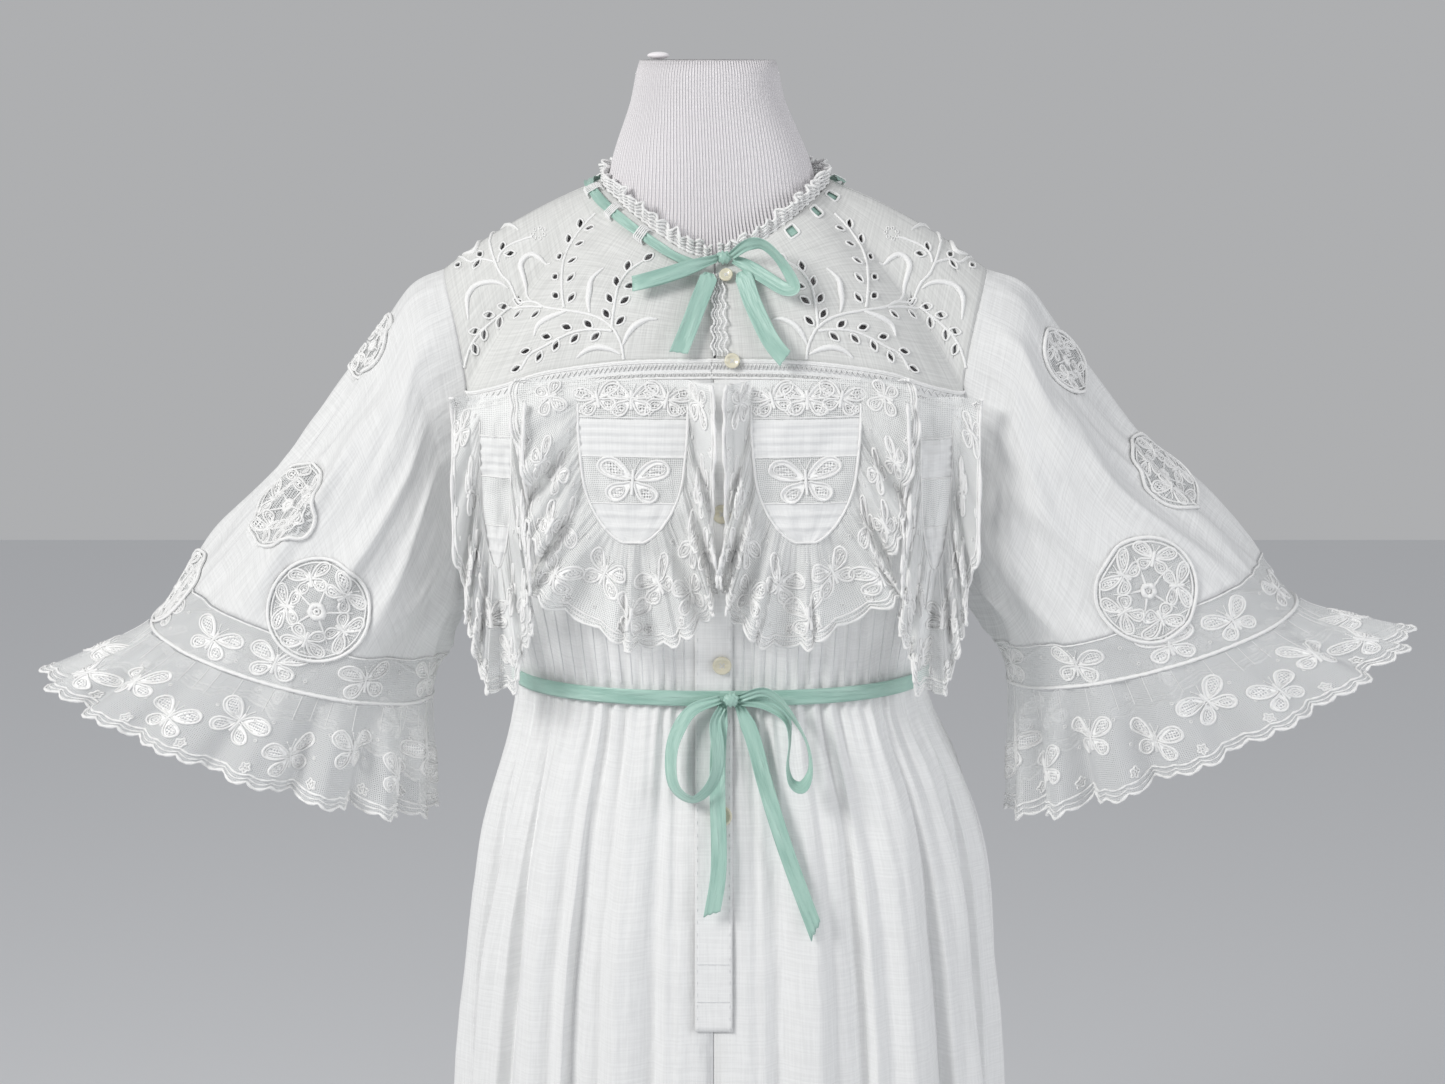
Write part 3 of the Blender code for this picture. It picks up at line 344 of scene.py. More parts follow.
# %% Gathers that vary from fold to fold
def gather(share, folds, swells):
    """Height of fine gathers and of broad swells at a share across a panel."""
    run = share * folds * 2 * math.pi
    fine = math.sin(run) + 0.28 * math.sin(2 * run + 5.0 * share)
    fine *= 0.72 + 0.28 * math.sin(19.0 * share + 1.1)
    broad = math.sin(share * swells * 2 * math.pi + 0.6 * math.sin(share * 9.0))
    broad = 0.7 * broad + 0.7 * abs(math.sin(share * swells * 1.3 * math.pi + 0.8)) ** 0.7 - 0.4
    calm = min(share, 1 - share, 0.08) / 0.08
    return fine * calm, broad * math.sin(min(share, 1 - share, 0.12) / 0.12 * math.pi / 2)


def tight_gathers(share, folds, z):
    """Small gathers drawn up by the ribbon, fading within a hand's width of it."""
    away = abs(z - WAIST_Z)
    fade = max(0.0, 1 - away / (0.115 if z < WAIST_Z else 0.05))
    calm = min(share, 1 - share, 0.05) / 0.05
    wave = math.sin(share * folds * 2.9 * math.pi + 2.2 * math.sin(11.0 * share))
    return 0.0019 * fade * calm * wave


def crumple(x, y, z, size, depth):
    """Soft dents of worn cotton, longer down the cloth than across it."""
    return depth * noise.noise(Vector((x / size, y / size, z / size / 3.2)))


def body_point(degrees, level, share, folds, swells, lift=0.0):
    """Point of a body panel: level 0 to 2 runs from the seam to ARM_Z, and over 2 is by height."""
    fine, broad = gather(share, folds, swells) if share > 0 else (0.0, 0.0)
    if level <= 2:
        top = seam(degrees, -1)
        z = top.z + (ARM_Z - top.z) * level / 2
        wave = along(BODY, z)[4] * fine * min(level, 1.0)
        plain = ring(degrees, z, wave + lift)
        return plain + (top - ring(degrees, top.z)) * (1 - level / 2)
    z = level - BY_HEIGHT
    gathered, swell = along(BODY, z)[4:]
    small = tight_gathers(share, folds, z) if share > 0 else 0.0
    fade = 0.42 + 0.58 * max(0.0, 1 - max(WAIST_Z - z, 0.0) / 0.10) if z < WAIST_Z else 0.6
    spot = Vector((share * folds * 0.55, folds * 1.7, z * 1.3))
    fall = 1.6 * noise.noise(spot) * min(share, 1 - share, 0.06) / 0.06 if share > 0 else 0.0
    for middle in PRESSED if folds < BACK_FOLDS else ():
        low = min(max(WAIST_Z - 0.03 - z, 0.0) / 0.16, 1.0)
        off = share - middle - 0.004 * math.sin(z * 6 + middle * 9)
        small += 0.011 * low * off / (abs(off) + 0.0022) * math.exp(-abs(off) / 0.020)
    return ring(degrees, z, gathered * (fade * fine + fall) + 0.8 * swell * broad + small + lift)


def height_of(level):
    """Height of a level of body_point, roughly where it is a share above ARM_Z."""
    return level - BY_HEIGHT if level > 2 else CHEST_Z


# %% Yoke
def neck_point(degrees):
    """Point of the neck seam."""
    x, y, z = along(NECK, fold_back(degrees))
    return Vector((x * side_of(degrees), y, z))


def yoke_point(degrees, share, lift=0.0):
    """Point of the yoke: share 0 at the band or armhole, 1 at the neck seam."""
    low = seam(degrees, 1)
    high = neck_point(degrees)
    turn = math.radians(degrees)
    across = Vector((math.cos(turn), math.sin(turn), 0.0))
    outward = (low - high).cross(across).normalized()
    bulge = along(YOKE_ROUND, fold_back(degrees))[0] * 4 * share * (1 - share)
    return low.lerp(high, share) + outward * (bulge + lift)


def share_under_neck(degrees, down):
    """Share of the yoke's height at a distance under the neck seam."""
    return 1 - down / (seam(degrees, 1) - neck_point(degrees)).length


def neck_ribbon_point(degrees, down, lift):
    """Point on the yoke a distance under the neck seam."""
    return yoke_point(degrees, share_under_neck(degrees, down), lift)


# %% Sleeve
def oval(row, up, ahead):
    """Point of a plain ring of the sleeve, its half height as a vector, and its depth there."""
    top_x, top_z, under_x, under_z, front, back, _ = row
    deep = front if ahead > 0 else back
    middle = Vector(((top_x + under_x) / 2, 0.0, (top_z + under_z) / 2))
    reach = Vector(((top_x - under_x) / 2, 0.0, (top_z - under_z) / 2))
    return middle + reach * up + Vector((0.0, -deep * ahead, 0.0)), reach, deep


def sleeve_point(table, side, station, degrees, gathered=False):
    """Point of the sleeve: 0 at the armhole, 5 at the band, 6 at the gathered lace, 8 at its edge."""
    row = along(table, station)
    turn = math.radians(degrees)
    up = math.cos(turn)
    ahead = math.sin(turn)
    plain, reach, deep = oval(row, up, ahead)
    outward = reach * (up / reach.length_squared) + Vector((0.0, -ahead / deep, 0.0))
    outward.normalize()
    if gathered:
        run = turn * SLEEVE_FRILL_WAVES + 0.7 * math.sin(2 * turn + 0.6)
        wave = math.sin(run) + 0.30 * math.sin(2 * run + 0.9)
        wave *= 1.15 + 0.5 * math.sin(3 * turn + 1.0)
    else:
        swing = 1.1 * math.sin(turn + 0.4) + 0.35 * station
        wave = math.sin(turn * 6 + swing) + 0.6 * math.sin(turn * 11 + 2.0 + 0.3 * station)
        wave = 1.3 * wave * (0.70 + 0.30 * math.sin(2 * turn + 0.5 * station))
        spot = Vector((3.0 * math.cos(turn), 3.0 * math.sin(turn), station * 0.42 + side * 5.0))
        wave += 1.3 * math.exp(-((noise.noise(spot) * 4.5) ** 2)) - 0.6
        wave *= min(1.0, max(0.35, (6.0 - station) / 1.2))
    point = plain + outward * (row[-1] * wave)
    if station < 1:
        hole = arm(degrees) - Vector((0.0006, 0.0, 0.0))
        point += (hole - oval(along(table, 0.0), up, ahead)[0]) * (1 - station)
    return Vector((point.x * side, point.y, point.z))


# %% Bertha
def chest_point(side, face, x, z, out):
    """Point a distance in front of the chest (face 1) or the back (face -1)."""
    ahead, behind = front_y(min(x, TURN_X), min(max(z, BUST_Z), 1.295))
    depth = ahead if face > 0 else behind
    depth -= 0.45 * max(x - TURN_X, 0.0)
    return Vector((side * x, -face * (depth + out), z))


def unit_edge(unit, t):
    """Tongue's edge at t from the inner top corner round to the outer one, and its way out."""
    mid, half, drop = unit.mid, unit.half, unit.drop
    straight = drop * STRAIGHT
    low = drop - straight
    arc = math.pi * math.sqrt((half * half + low * low) / 2)
    total = 2 * straight + arc
    run = t * total
    if run < straight:
        return mid - half, -run, Vector((-1.0, 0.0))
    if run > straight + arc:
        return mid + half, -(total - run), Vector((1.0, 0.0))
    turn = math.pi * (run - straight) / arc
    x = mid - half * math.cos(turn)
    z = -straight - low * math.sin(turn)
    out = Vector((-math.cos(turn) / half, -math.sin(turn) / low))
    return x, z, out.normalized()


def unit_top(unit):
    """Height at which a unit hangs from the band."""
    near = math.degrees(math.asin(min(unit.mid / 0.21, 1.0)))
    angle = near if unit.face > 0 else 180.0 - near
    return along(BAND_LINE, angle)[0] - BAND / 2 - 0.001


def stand_off(unit, fall):
    """Distance of a bertha unit from the chest at a fall below its top."""
    share = min(fall / unit.drop, 1.0)
    return unit.sewn + (unit.stand - unit.sewn) * min(share * 4, 1.0) + 0.004 * share


def narrowing(share):
    """The tongue tapers to a blunt point below its upper quarter."""
    return 1 - 0.26 * max(0.0, (share - 0.25) / 0.75) ** 1.4


def tongue_point(unit, across, down, lift):
    """Level rows: across -1 to 1 from the inner to the outer edge, down 0 to 1."""
    low = max((down - STRAIGHT) / ROUNDED, 0.0)
    width = unit.half * math.sqrt(max(1 - low * low, 0.0)) * narrowing(down)
    out = stand_off(unit, unit.drop * down) + lift
    z = unit_top(unit) - unit.drop * down
    return chest_point(unit.side, unit.face, unit.mid + width * across, z, out)


def frill_point(unit, t, r):
    """Gathered lace round a tongue: t along its edge, r 0 at the seam and 1 at the scallops.

    Beside the tongue it is level at the band, and sags the more the further it is from it.
    """
    mid = unit.mid
    x, z, way = unit_edge(unit, t)
    fallen_share = min(-z / unit.drop, 1.0)
    x = mid + (x - mid) * narrowing(fallen_share)
    hang = min(min(t, 1 - t) / 0.13, 1.0)
    hang = hang * hang * (3 - 2 * hang)
    near = unit.half > BROAD
    beside = (unit.inner if way.x < 0 else unit.outer) * 1.12 + (0.004 if near else 0.006)
    fallen = (0.088 if way.x < 0 else 0.056) if near else 0.098
    level, steep = way.x * way.x, way.y * way.y
    corner = 4 * level * steep * (0.017 if near else 0.0)
    uneven = 1 + 0.16 * math.sin(17 * t + mid * 60) + 0.10 * math.sin(41 * t + mid * 90)
    if not near and way.x > 0:
        uneven *= 1 - 0.75 * fallen_share
    x += math.copysign(FRILL_SEAM + (beside * level + corner) * uneven, way.x) * r
    uneven = 1 + 0.07 * math.sin(23 * t + mid * 50)
    z -= (FRILL_SEAM + (fallen * hang * level + unit.below * steep) * uneven) * r
    run = 2 * math.pi * FRILL_WAVES * t + 0.9 * math.sin(9.0 * t + mid * 40)
    ripple = math.sin(run) + 0.50 * math.sin(2 * run + 1.0) + 0.22 * math.sin(3 * run + mid * 90)
    flow = max(r, 0.0) ** 0.7
    wave = (0.0098 if near else 0.0085) * ripple * flow
    wave += 0.0009 * math.sin(run * 7) * max(0.0, 1 - abs(r - 0.15) * 4)
    out = stand_off(unit, -z) + (0.018 - 0.008 * abs(way.y)) * r + wave
    x += 0.0045 * math.cos(run) * flow * math.sqrt(steep)
    return chest_point(unit.side, unit.face, x, unit_top(unit) + z, out)


# %% [markdown]
# ## Laying cloth
#
# A length of cloth starts as a flat grid. Its points are moved to the garment's surface, and each one
# keeps its place on the flat cloth, in metres, as a UV map, so that a weave or a net has its true
# size everywhere. Solidify then gives the cloth its thickness.

# %% Grid of cloth on a surface
def spread(start, end, steps):
    return [start + (end - start) * step / steps for step in range(steps + 1)]


def linked(name, bm):
    """An object in the scene, of a bmesh that is then freed."""
    mesh = bpy.data.meshes.new(name)
    bm.to_mesh(mesh)
    bm.free()
    made = bpy.data.objects.new(name, mesh)
    bpy.context.collection.objects.link(made)
    return made


def add_piece(name, bm, *looks):
    """A smooth piece of the dress or the form, which all move as one body."""
    piece = linked(name, bm)
    piece.data.shade_smooth()
    for look in looks:
        piece.data.materials.append(look)
    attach(piece, "root")
    return piece


def carried(name, node, slot, bm, *looks):
    """A piece that is no cloth, in place of the CAD solid it hides. The slot is not used."""
    piece = add_piece(name, bm, *looks)
    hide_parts(node)
    return piece


def lay(name, us, vs, place, looks, wall=0.0007, ring_round=False, flip=False, chart=None):
    """Cloth over a grid us by vs on place(u, v), with a wall of a thickness, or of none at 0.

    ring_round joins its ends, flip turns it over, and chart(u, v) is its place on the flat cloth where
    the lengths along its rows don't give that.
    """
    bm = bmesh.new()
    bmesh.ops.create_grid(bm, x_segments=len(us) - 1, y_segments=len(vs) - 1, size=0.5)
    bm.verts.ensure_lookup_table()
    wide = len(us)
    marks = [(u, v) for v in vs for u in us]
    bm.verts.layers.float.new("Lace work")
    for vert, mark in zip(bm.verts, marks):
        vert.co = place(*mark)
    spots = [vert.co.copy() for vert in bm.verts]
    middle = len(vs) // 2 * wide
    across = [0.0]
    for column in range(1, wide):
        across.append(across[-1] + (spots[middle + column] - spots[middle + column - 1]).length)
    down = [0.0] * wide
    for index in range(wide, len(spots)):
        down.append(down[index - wide] + (spots[index] - spots[index - wide]).length)
    sheet_map = bm.loops.layers.uv.new("UVMap")
    for face in bm.faces:
        for loop in face.loops:
            index = loop.vert.index
            flat = chart(*marks[index]) if chart else (across[index % wide], down[index])
            loop[sheet_map].uv = flat
    mark_u = bm.verts.layers.float.new("mark u")
    mark_v = bm.verts.layers.float.new("mark v")
    for vert in bm.verts:
        vert[mark_u], vert[mark_v] = marks[vert.index]
    if ring_round:
        bmesh.ops.remove_doubles(bm, verts=bm.verts, dist=1e-6)
    places = numpy.array([(vert[mark_u], vert[mark_v]) for vert in bm.verts])
    bm.verts.layers.float.remove(mark_u)
    bm.verts.layers.float.remove(bm.verts.layers.float["mark v"])
    if flip:
        bmesh.ops.reverse_faces(bm, faces=bm.faces)
    piece = add_piece(name, bm, *(looks if isinstance(looks, tuple) else (looks,)))
    if wall:
        thick = piece.modifiers.new("wall", "SOLIDIFY")
        thick.thickness = wall
        thick.offset = -1.0
    return SimpleNamespace(
        piece=piece,
        place=place,
        wide=across[-1],
        long=down[-1 - wide // 2],
        flip=-1.0 if flip != (us[-1] < us[0]) else 1.0,
        lines=[],
        places=places,
        work=numpy.zeros(len(places)),
    )


# %% [markdown]
# ## Threads that lie on the cloth
#
# Embroidery, corded lace and seams are raised lines. Each one is a thin tube along points that were
# laid on the garment's surface. All the lines of one piece are one curve, turned into a mesh.

# %% Raised threads along paths
def threads(name, paths, look, sides=4):
    """Tubes along paths, each a list of (point, radius) and whether it closes."""
    curve = bpy.data.curves.new(name, "CURVE")
    curve.dimensions = "3D"
    curve.bevel_depth = 0.001
    curve.bevel_resolution = max(0, sides // 2 - 2)
    curve.use_fill_caps = True
    for points, closed in paths:
        line = curve.splines.new("POLY")
        line.points.add(len(points) - 1)
        for spot, (place, radius) in zip(line.points, points):
            spot.co = (*place, 1.0)
            spot.radius = radius * 1000
        line.use_cyclic_u = closed
        line.use_smooth = True
    guide = bpy.data.objects.new(name + "_guide", curve)
    bpy.context.collection.objects.link(guide)
    graph = bpy.context.evaluated_depsgraph_get()
    mesh = bpy.data.meshes.new_from_object(guide.evaluated_get(graph))
    bpy.data.objects.remove(guide)
    bpy.data.curves.remove(curve)
    bm = bmesh.new()
    bm.from_mesh(mesh)
    bpy.data.meshes.remove(mesh)
    return add_piece(name, bm, look)


def rounded(points, closed, steps):
    """Finer points along a smooth line through the given ones."""
    count = len(points)
    fine = []
    for index in range(count if closed else count - 1):
        before = points[index - 1] if closed or index else points[index]
        here = points[index]
        after = points[(index + 1) % count]
        beyond = points[(index + 2) % count] if closed or index + 2 < count else after
        for step in range(steps):
            t = step / steps
            spot = []
            for a, b, c, d in zip(before, here, after, beyond):
                bend = (2 * a - 5 * b + 4 * c - d) * t * t + (3 * b - a - 3 * c + d) * t**3
                spot.append(0.5 * (2 * b + (c - a) * t + bend))
            fine.append(tuple(spot))
    if not closed:
        fine.append(tuple(points[-1]))
    return fine


# %% Place of a flat drawing on a curved surface
def steps_at(place, u, v, du, dv):
    here = place(u, v)
    return here, place(u + du, v) - here, place(u, v + dv) - here


def on_flat(cloth, u, v, du, dv):
    """Lay a flat offset in metres on the surface round (u, v), with a lift above it."""
    start, across, up = steps_at(cloth.place, u, v, du, dv)
    right = across.normalized()
    out = across.cross(up).normalized()
    top = out.cross(right)

    def laid(dx, dy, lift=0.0):
        a = u + dx / across.length * du
        b = v + dy / up.length * dv
        for _ in range(3):
            here, step_u, step_v = steps_at(cloth.place, a, b, du, dv)
            gap = start + right * dx + top * dy - here
            ux, uy = step_u.dot(right), step_u.dot(top)
            vx, vy = step_v.dot(right), step_v.dot(top)
            scale = ux * vy - vx * uy
            a += (gap.dot(right) * vy - gap.dot(top) * vx) / scale * du
            b += (gap.dot(top) * ux - gap.dot(right) * uy) / scale * dv
        here, step_u, step_v = steps_at(cloth.place, a, b, du, dv)
        return here + step_u.cross(step_v).normalized() * (lift * cloth.flip)

    def found(spot):
        gap = spot - start
        return gap.dot(right), gap.dot(top), abs(gap.dot(out)) < 0.02

    return laid, found


def on_strip(cloth, u, v, reach, depth):
    """Lay an offset along and across a strip of lace, so that it follows the folds."""
    parts = [cloth.place(u + reach * step / 12, v) for step in range(-12, 13)]
    run = sum((after - before).length for before, after in zip(parts, parts[1:]))
    fall = (cloth.place(u, v + depth) - cloth.place(u, v - depth)).length
    per_u = 2 * reach / run
    per_v = 2 * depth / fall

    def laid(dx, dy, lift=0.0):
        a = u + dx * per_u
        b = v + dy * per_v
        here, step_u, step_v = steps_at(cloth.place, a, b, per_u * 0.0008, per_v * 0.0008)
        return here + step_u.cross(step_v).normalized() * (lift * cloth.flip)

    return laid, (u, v, per_u, per_v)

# %% [markdown]
# ## Motifs of the lace
#
# The lace has butterflies and small flowers. Each is dense clothwork inside a raised cord, with
# openwork in its wings. The cords are real tubes. Dense and open work are painted on the net as one
# value for each vertex, 0 for net, 0.5 for dense and 1 for open, and the net's finish reads it.

# %% Outlines in millimetres, the right half of a butterfly
UPPER_WING = (
    (1.0, 1.0), (4.0, 6.5), (8.5, 11.0), (14.0, 13.4), (19.5, 12.6), (22.5, 9.0), (21.5, 5.0),
    (16.0, 1.6), (8.0, 0.4),
)
UPPER_WORK = ((6.0, 3.4), (9.5, 8.0), (14.0, 11.0), (18.6, 10.4), (20.0, 7.8), (18.0, 5.2), (12.5, 3.2))
LOWER_WING = (
    (1.0, -1.0), (6.0, -1.8), (12.0, -3.0), (16.0, -6.5), (15.0, -11.0), (10.5, -13.5), (6.0, -12.0),
    (2.8, -7.5),
)
LOWER_WORK = ((5.4, -4.6), (10.0, -4.8), (13.2, -7.4), (12.0, -10.6), (8.4, -10.8), (5.6, -8.4))
VEINS = (((6.0, 4.0), (14.0, 7.0), (19.0, 8.0)), ((2.0, 1.0), (11.0, 2.4)), ((6.0, -5.5), (12.0, -8.0)))
FEELER = ((0.4, 6.0), (2.0, 9.5), (3.6, 12.5))


def turned(points, size, turn, side=1.0):
    """Points in millimetres as metres, made larger, mirrored and turned."""
    spin = math.radians(turn)
    across = size * 0.001 * math.cos(spin)
    up = size * 0.001 * math.sin(spin)
    return [(side * x * across - y * up, side * x * up + y * across) for x, y in points]


def butterfly(size, turn):
    """Lines (points, radius, closed) and cells (outline, work) of a butterfly."""
    lines = []
    cells = []
    for side in (1.0, -1.0):
        for wing, work in ((UPPER_WING, UPPER_WORK), (LOWER_WING, LOWER_WORK)):
            outer = turned(rounded(wing, True, 2), size, turn, side)
            inner = turned(rounded(work, True, 2), size, turn, side)
            lines.append((outer, 0.0010, True))
            lines.append((inner, 0.00055, True))
            cells.append((outer, 0.5))
            cells.append((inner, 1.0))
        for vein in VEINS:
            lines.append((turned(vein, size, turn, side), 0.0004, False))
        lines.append((turned(FEELER, size, turn, side), 0.0004, False))
        tip = turned([FEELER[-1]], size, turn, side)[0]
        lines.append(([tip, (tip[0] + 0.0006, tip[1])], 0.0009, False))
    body = [(0.0, 7.0), (0.0, 3.5), (0.0, 0.0), (0.0, -4.5), (0.0, -9.0)]
    lines.append((turned(body, size, turn), 0.0016, False))
    return lines, cells


def small_ring(radius, step):
    """Points of a ring round the middle, a step in radians apart."""
    turns = numpy.arange(0, NEARLY_ROUND, step)
    return [(radius * math.cos(bend), radius * math.sin(bend)) for bend in turns]


def flower(size, turn):
    """Lines and cells of a small flower with five petals and an open middle."""
    rim = []
    for step in range(20):
        bend = 2 * math.pi * step / 20
        radius = 4.6 + 1.2 * math.cos(5 * bend)
        rim.append((radius * math.cos(bend), radius * math.sin(bend)))
    rim = turned(rim, size, turn)
    heart = turned(small_ring(1.7, 0.78), size, turn)
    return [(rim, 0.0009, True), (heart, 0.0006, True)], [(rim, 0.5), (heart, 1.0)]


def dot(size):
    """A small worked ring, one of the sprigs on the ground of the net."""
    rim = turned(small_ring(1.3, 1.05), size, 0.0)
    return [(rim, 0.0004, True)], [(rim, 0.5)]


# %% Putting a motif on the cloth
def inside(points, loop):
    """Which of the points lie inside a closed loop."""
    x, y = points[:, 0], points[:, 1]
    found = numpy.zeros(len(points), bool)
    for (x0, y0), (x1, y1) in zip(loop, loop[1:] + loop[:1]):
        crosses = (y0 > y) != (y1 > y)
        found ^= crosses & (x < (x1 - x0) * (y - y0) / (y1 - y0 + 1e-12) + x0)
    return found


def stamp(cloth, spot, drawing, lift=0.0005):
    """Add a drawing's raised lines to the cloth and paint its work, on a spot of on_flat or on_strip."""
    laid, frame_of = spot
    lines, cells = drawing
    for points, radius, closed in lines:
        cloth.lines.append(([(laid(x, y, lift), radius) for x, y in points], closed))
    mesh = cloth.piece.data
    if callable(frame_of):
        local = numpy.array([frame_of(vert.co)[:2] for vert in mesh.vertices])
        near = numpy.array([frame_of(vert.co)[2] for vert in mesh.vertices])
    else:
        u, v, per_u, per_v = frame_of
        local = (cloth.places - numpy.array((u, v))) / numpy.array((per_u, per_v))
        near = numpy.ones(len(local), bool)
    near &= numpy.abs(local).max(axis=1) < MOTIF_REACH
    if not near.any():
        return
    here = numpy.flatnonzero(near)
    for outline, work in cells:
        cloth.work[here[inside(local[here], outline)]] = work


def sprinkle(cloth, reach, depth, *motifs):
    """Stamp motifs on a strip of lace, each (u, v, drawing)."""
    for u, v, drawing in motifs:
        stamp(cloth, on_strip(cloth, u, v, reach, depth), drawing)


def edge_cord(cloth, points, radius, closed=False, lumps=0.0):
    """A raised cord along points, thicker and thinner by turns where it has lumps."""
    run = []
    for index, point in enumerate(points):
        run.append((point, radius * (1 + lumps * math.sin(index * 2.1))))
    cloth.lines.append((run, closed))


trims_of = {}


def finish_lace(cloth, name, look, sides=4):
    """Write the painted work, and join all raised lines of a cloth in one piece."""
    if cloth.places is not None:
        layer = cloth.piece.data.attributes["Lace work"]
        layer.data.foreach_set("value", cloth.work.astype(numpy.float32))
    piece = threads(name, cloth.lines, look, sides)
    trims_of.setdefault(cloth.piece.name, []).append(piece)

# %% [markdown]
# ## Finishes
#
# Every finish is worked out from the cloth's own UV map in metres, or from the place on the object.
# A shared effect, such as the holes of a net, is a node group that gives a mask or a height, and each
# material decides what to do with it.

# %% Helpers for materials
def fresh(name, colour, rough, **sockets):
    """New material with a Principled shader and its constant values."""
    look = bpy.data.materials.new(name)
    look.use_nodes = True
    shader = look.node_tree.nodes["Principled BSDF"]
    shader.inputs["Base Color"].default_value = (*colour, 1.0)
    shader.inputs["Roughness"].default_value = rough
    for socket, value in sockets.items():
        shader.inputs[socket.replace("_", " ")].default_value = value
    return look, look.node_tree, shader


def effect(name, outputs):
    """Node group with one vector input and named outputs."""
    group = bpy.data.node_groups.new(name, "ShaderNodeTree")
    group.interface.new_socket("Place", in_out="INPUT", socket_type="NodeSocketVector")
    for title, kind in outputs:
        group.interface.new_socket(title, in_out="OUTPUT", socket_type="NodeSocket" + kind)
    start = group.nodes.new("NodeGroupInput")
    end = group.nodes.new("NodeGroupOutput")
    return group, start.outputs["Place"], end


def add(tree, kind, inputs=(), **settings):
    """Node of a kind, with settings, and inputs given as values or as other nodes' outputs."""
    made = tree.nodes.new("ShaderNode" + kind)
    for name, value in settings.items():
        setattr(made, name, value)
    for key, value in dict(inputs).items():
        socket = made.inputs[key]
        if isinstance(value, bpy.types.NodeSocket):
            tree.links.new(value, socket)
        else:
            socket.default_value = value
    return made


def maths(tree, what, *values, clamp=False):
    made = add(tree, "Math", enumerate(values), operation=what)
    made.use_clamp = clamp
    return made.outputs[0]


def stretched(tree, place, scale):
    return add(tree, "Mapping", {"Vector": place, "Scale": scale}).outputs[0]


def noise_at(tree, place, scale, detail=2.0):
    """Value of a noise, with its place stretched where the scale has three parts."""
    if isinstance(scale, tuple):
        place, scale = stretched(tree, place, scale), 1.0
    made = add(tree, "TexNoise", {"Vector": place, "Scale": scale, "Detail": detail})
    return made.outputs["Fac"]


def bumped(tree, height, distance, strength=1.0, under=None):
    """Normal of a bump, over another one where that is given."""
    made = add(tree, "Bump", {"Height": height, "Distance": distance, "Strength": strength})
    if under is not None:
        tree.links.new(under, made.inputs["Normal"])
    return made.outputs["Normal"]


def object_place(tree):
    return add(tree, "TexCoord").outputs["Object"]


def shaded(tree, mask, low, high):
    """Colour between two by a mask."""
    made = add(tree, "Mix", {0: mask}, data_type="RGBA")
    made.inputs[6].default_value = (*low, 1.0)
    made.inputs[7].default_value = (*high, 1.0)
    return made.outputs[2]


def use(tree, group, place):
    made = tree.nodes.new("ShaderNodeGroup")
    made.node_tree = group
    tree.links.new(place, made.inputs["Place"])
    return made


def cloth_place(tree):
    return add(tree, "TexCoord").outputs["UV"]


# %% [markdown]
# Plain cotton is woven from uneven threads. Seen close up it shows thicker threads here and there,
# and worn cotton keeps soft dents. Both are heights for a bump.

# %% Woven threads and soft dents
weave, spot, ends = effect("woven threads", [("Height", "Float"), ("Thick threads", "Float")])
both = maths(weave, "ADD", noise_at(weave, spot, (700, 24, 1)), noise_at(weave, spot, (24, 700, 1)))
weave.links.new(maths(weave, "MULTIPLY", both, 0.5), ends.inputs["Height"])
thick = maths(weave, "MULTIPLY", maths(weave, "SUBTRACT", both, 0.84), 3.0, clamp=True)
weave.links.new(thick, ends.inputs["Thick threads"])

dents, spot, ends = effect("soft dents", [("Height", "Float")])
small = noise_at(dents, spot, (70, 26, 1), 3.0)
joined = maths(dents, "MULTIPLY_ADD", small, 0.45, noise_at(dents, spot, (24, 8, 1)))
dents.links.new(joined, ends.inputs["Height"])


# %% Cotton lawn and the sheerer cotton of the yoke
def cotton(name, colour, rough, dent, slub, sheer=1.0):
    """Cotton with dents of a depth, with uneven threads, and let through where sheer is under 1."""
    look, tree, shader = fresh(
        name, colour, rough, Sheen_Weight=0.25, Sheen_Roughness=0.6, Specular_IOR_Level=0.25
    )
    place = cloth_place(tree)
    woven = use(tree, weave, place)
    thin = tuple(part * (1 - slub) for part in colour)
    paler = tuple(min(part * (1 + slub), 0.97) for part in colour)
    tint = shaded(tree, woven.outputs["Thick threads"], thin, paler)
    tree.links.new(tint, shader.inputs["Base Color"])
    soft = bumped(tree, use(tree, dents, place).outputs["Height"], dent)
    fine = bumped(tree, woven.outputs["Height"], 0.0004, 0.5, soft)
    tree.links.new(fine, shader.inputs["Normal"])
    if sheer < 1:
        through = maths(tree, "MULTIPLY_ADD", woven.outputs["Height"], 0.5, sheer - 0.25, clamp=True)
        tree.links.new(through, shader.inputs["Alpha"])
    return look


LAWN = cotton("white cotton lawn", (0.82, 0.825, 0.825), 0.85, 0.0036, 0.038)
SLEEVE_LAWN = cotton("sleeve lawn", (0.81, 0.815, 0.815), 0.85, 0.0042, 0.012, 0.95)
# The yoke cotton is greyer than the lawn: painted shade of the form seen through the sheer cloth, besides
# its real see-through
SHEER = cotton("sheer yoke cotton", (0.75, 0.755, 0.74), 0.85, 0.0020, 0.030, 0.92)

# %% [markdown]
# Bobbin net has six-sided holes a little over a millimetre across. Distance to the edge of a Voronoi
# cell gives its threads, and the rest lets the light through. Where the painted work is dense there is
# woven cloth, and where it is open there are larger round holes.

# %% Bobbin net with dense and open work
net_holes, spot, ends = effect("net holes", [("Thread", "Float"), ("Large holes", "Float")])


def cells_of(output, scale, random, limit, **settings):
    """Send on how far a cell's distance is under a limit, made steep and clamped."""
    inputs = {"Vector": spot, "Scale": scale, "Randomness": random}
    made = add(net_holes, "TexVoronoi", inputs, voronoi_dimensions="2D", **settings)
    under = maths(net_holes, "SUBTRACT", limit, made.outputs["Distance"])
    steep = maths(net_holes, "MULTIPLY", under, 9.0, clamp=True)
    net_holes.links.new(steep, ends.inputs[output])


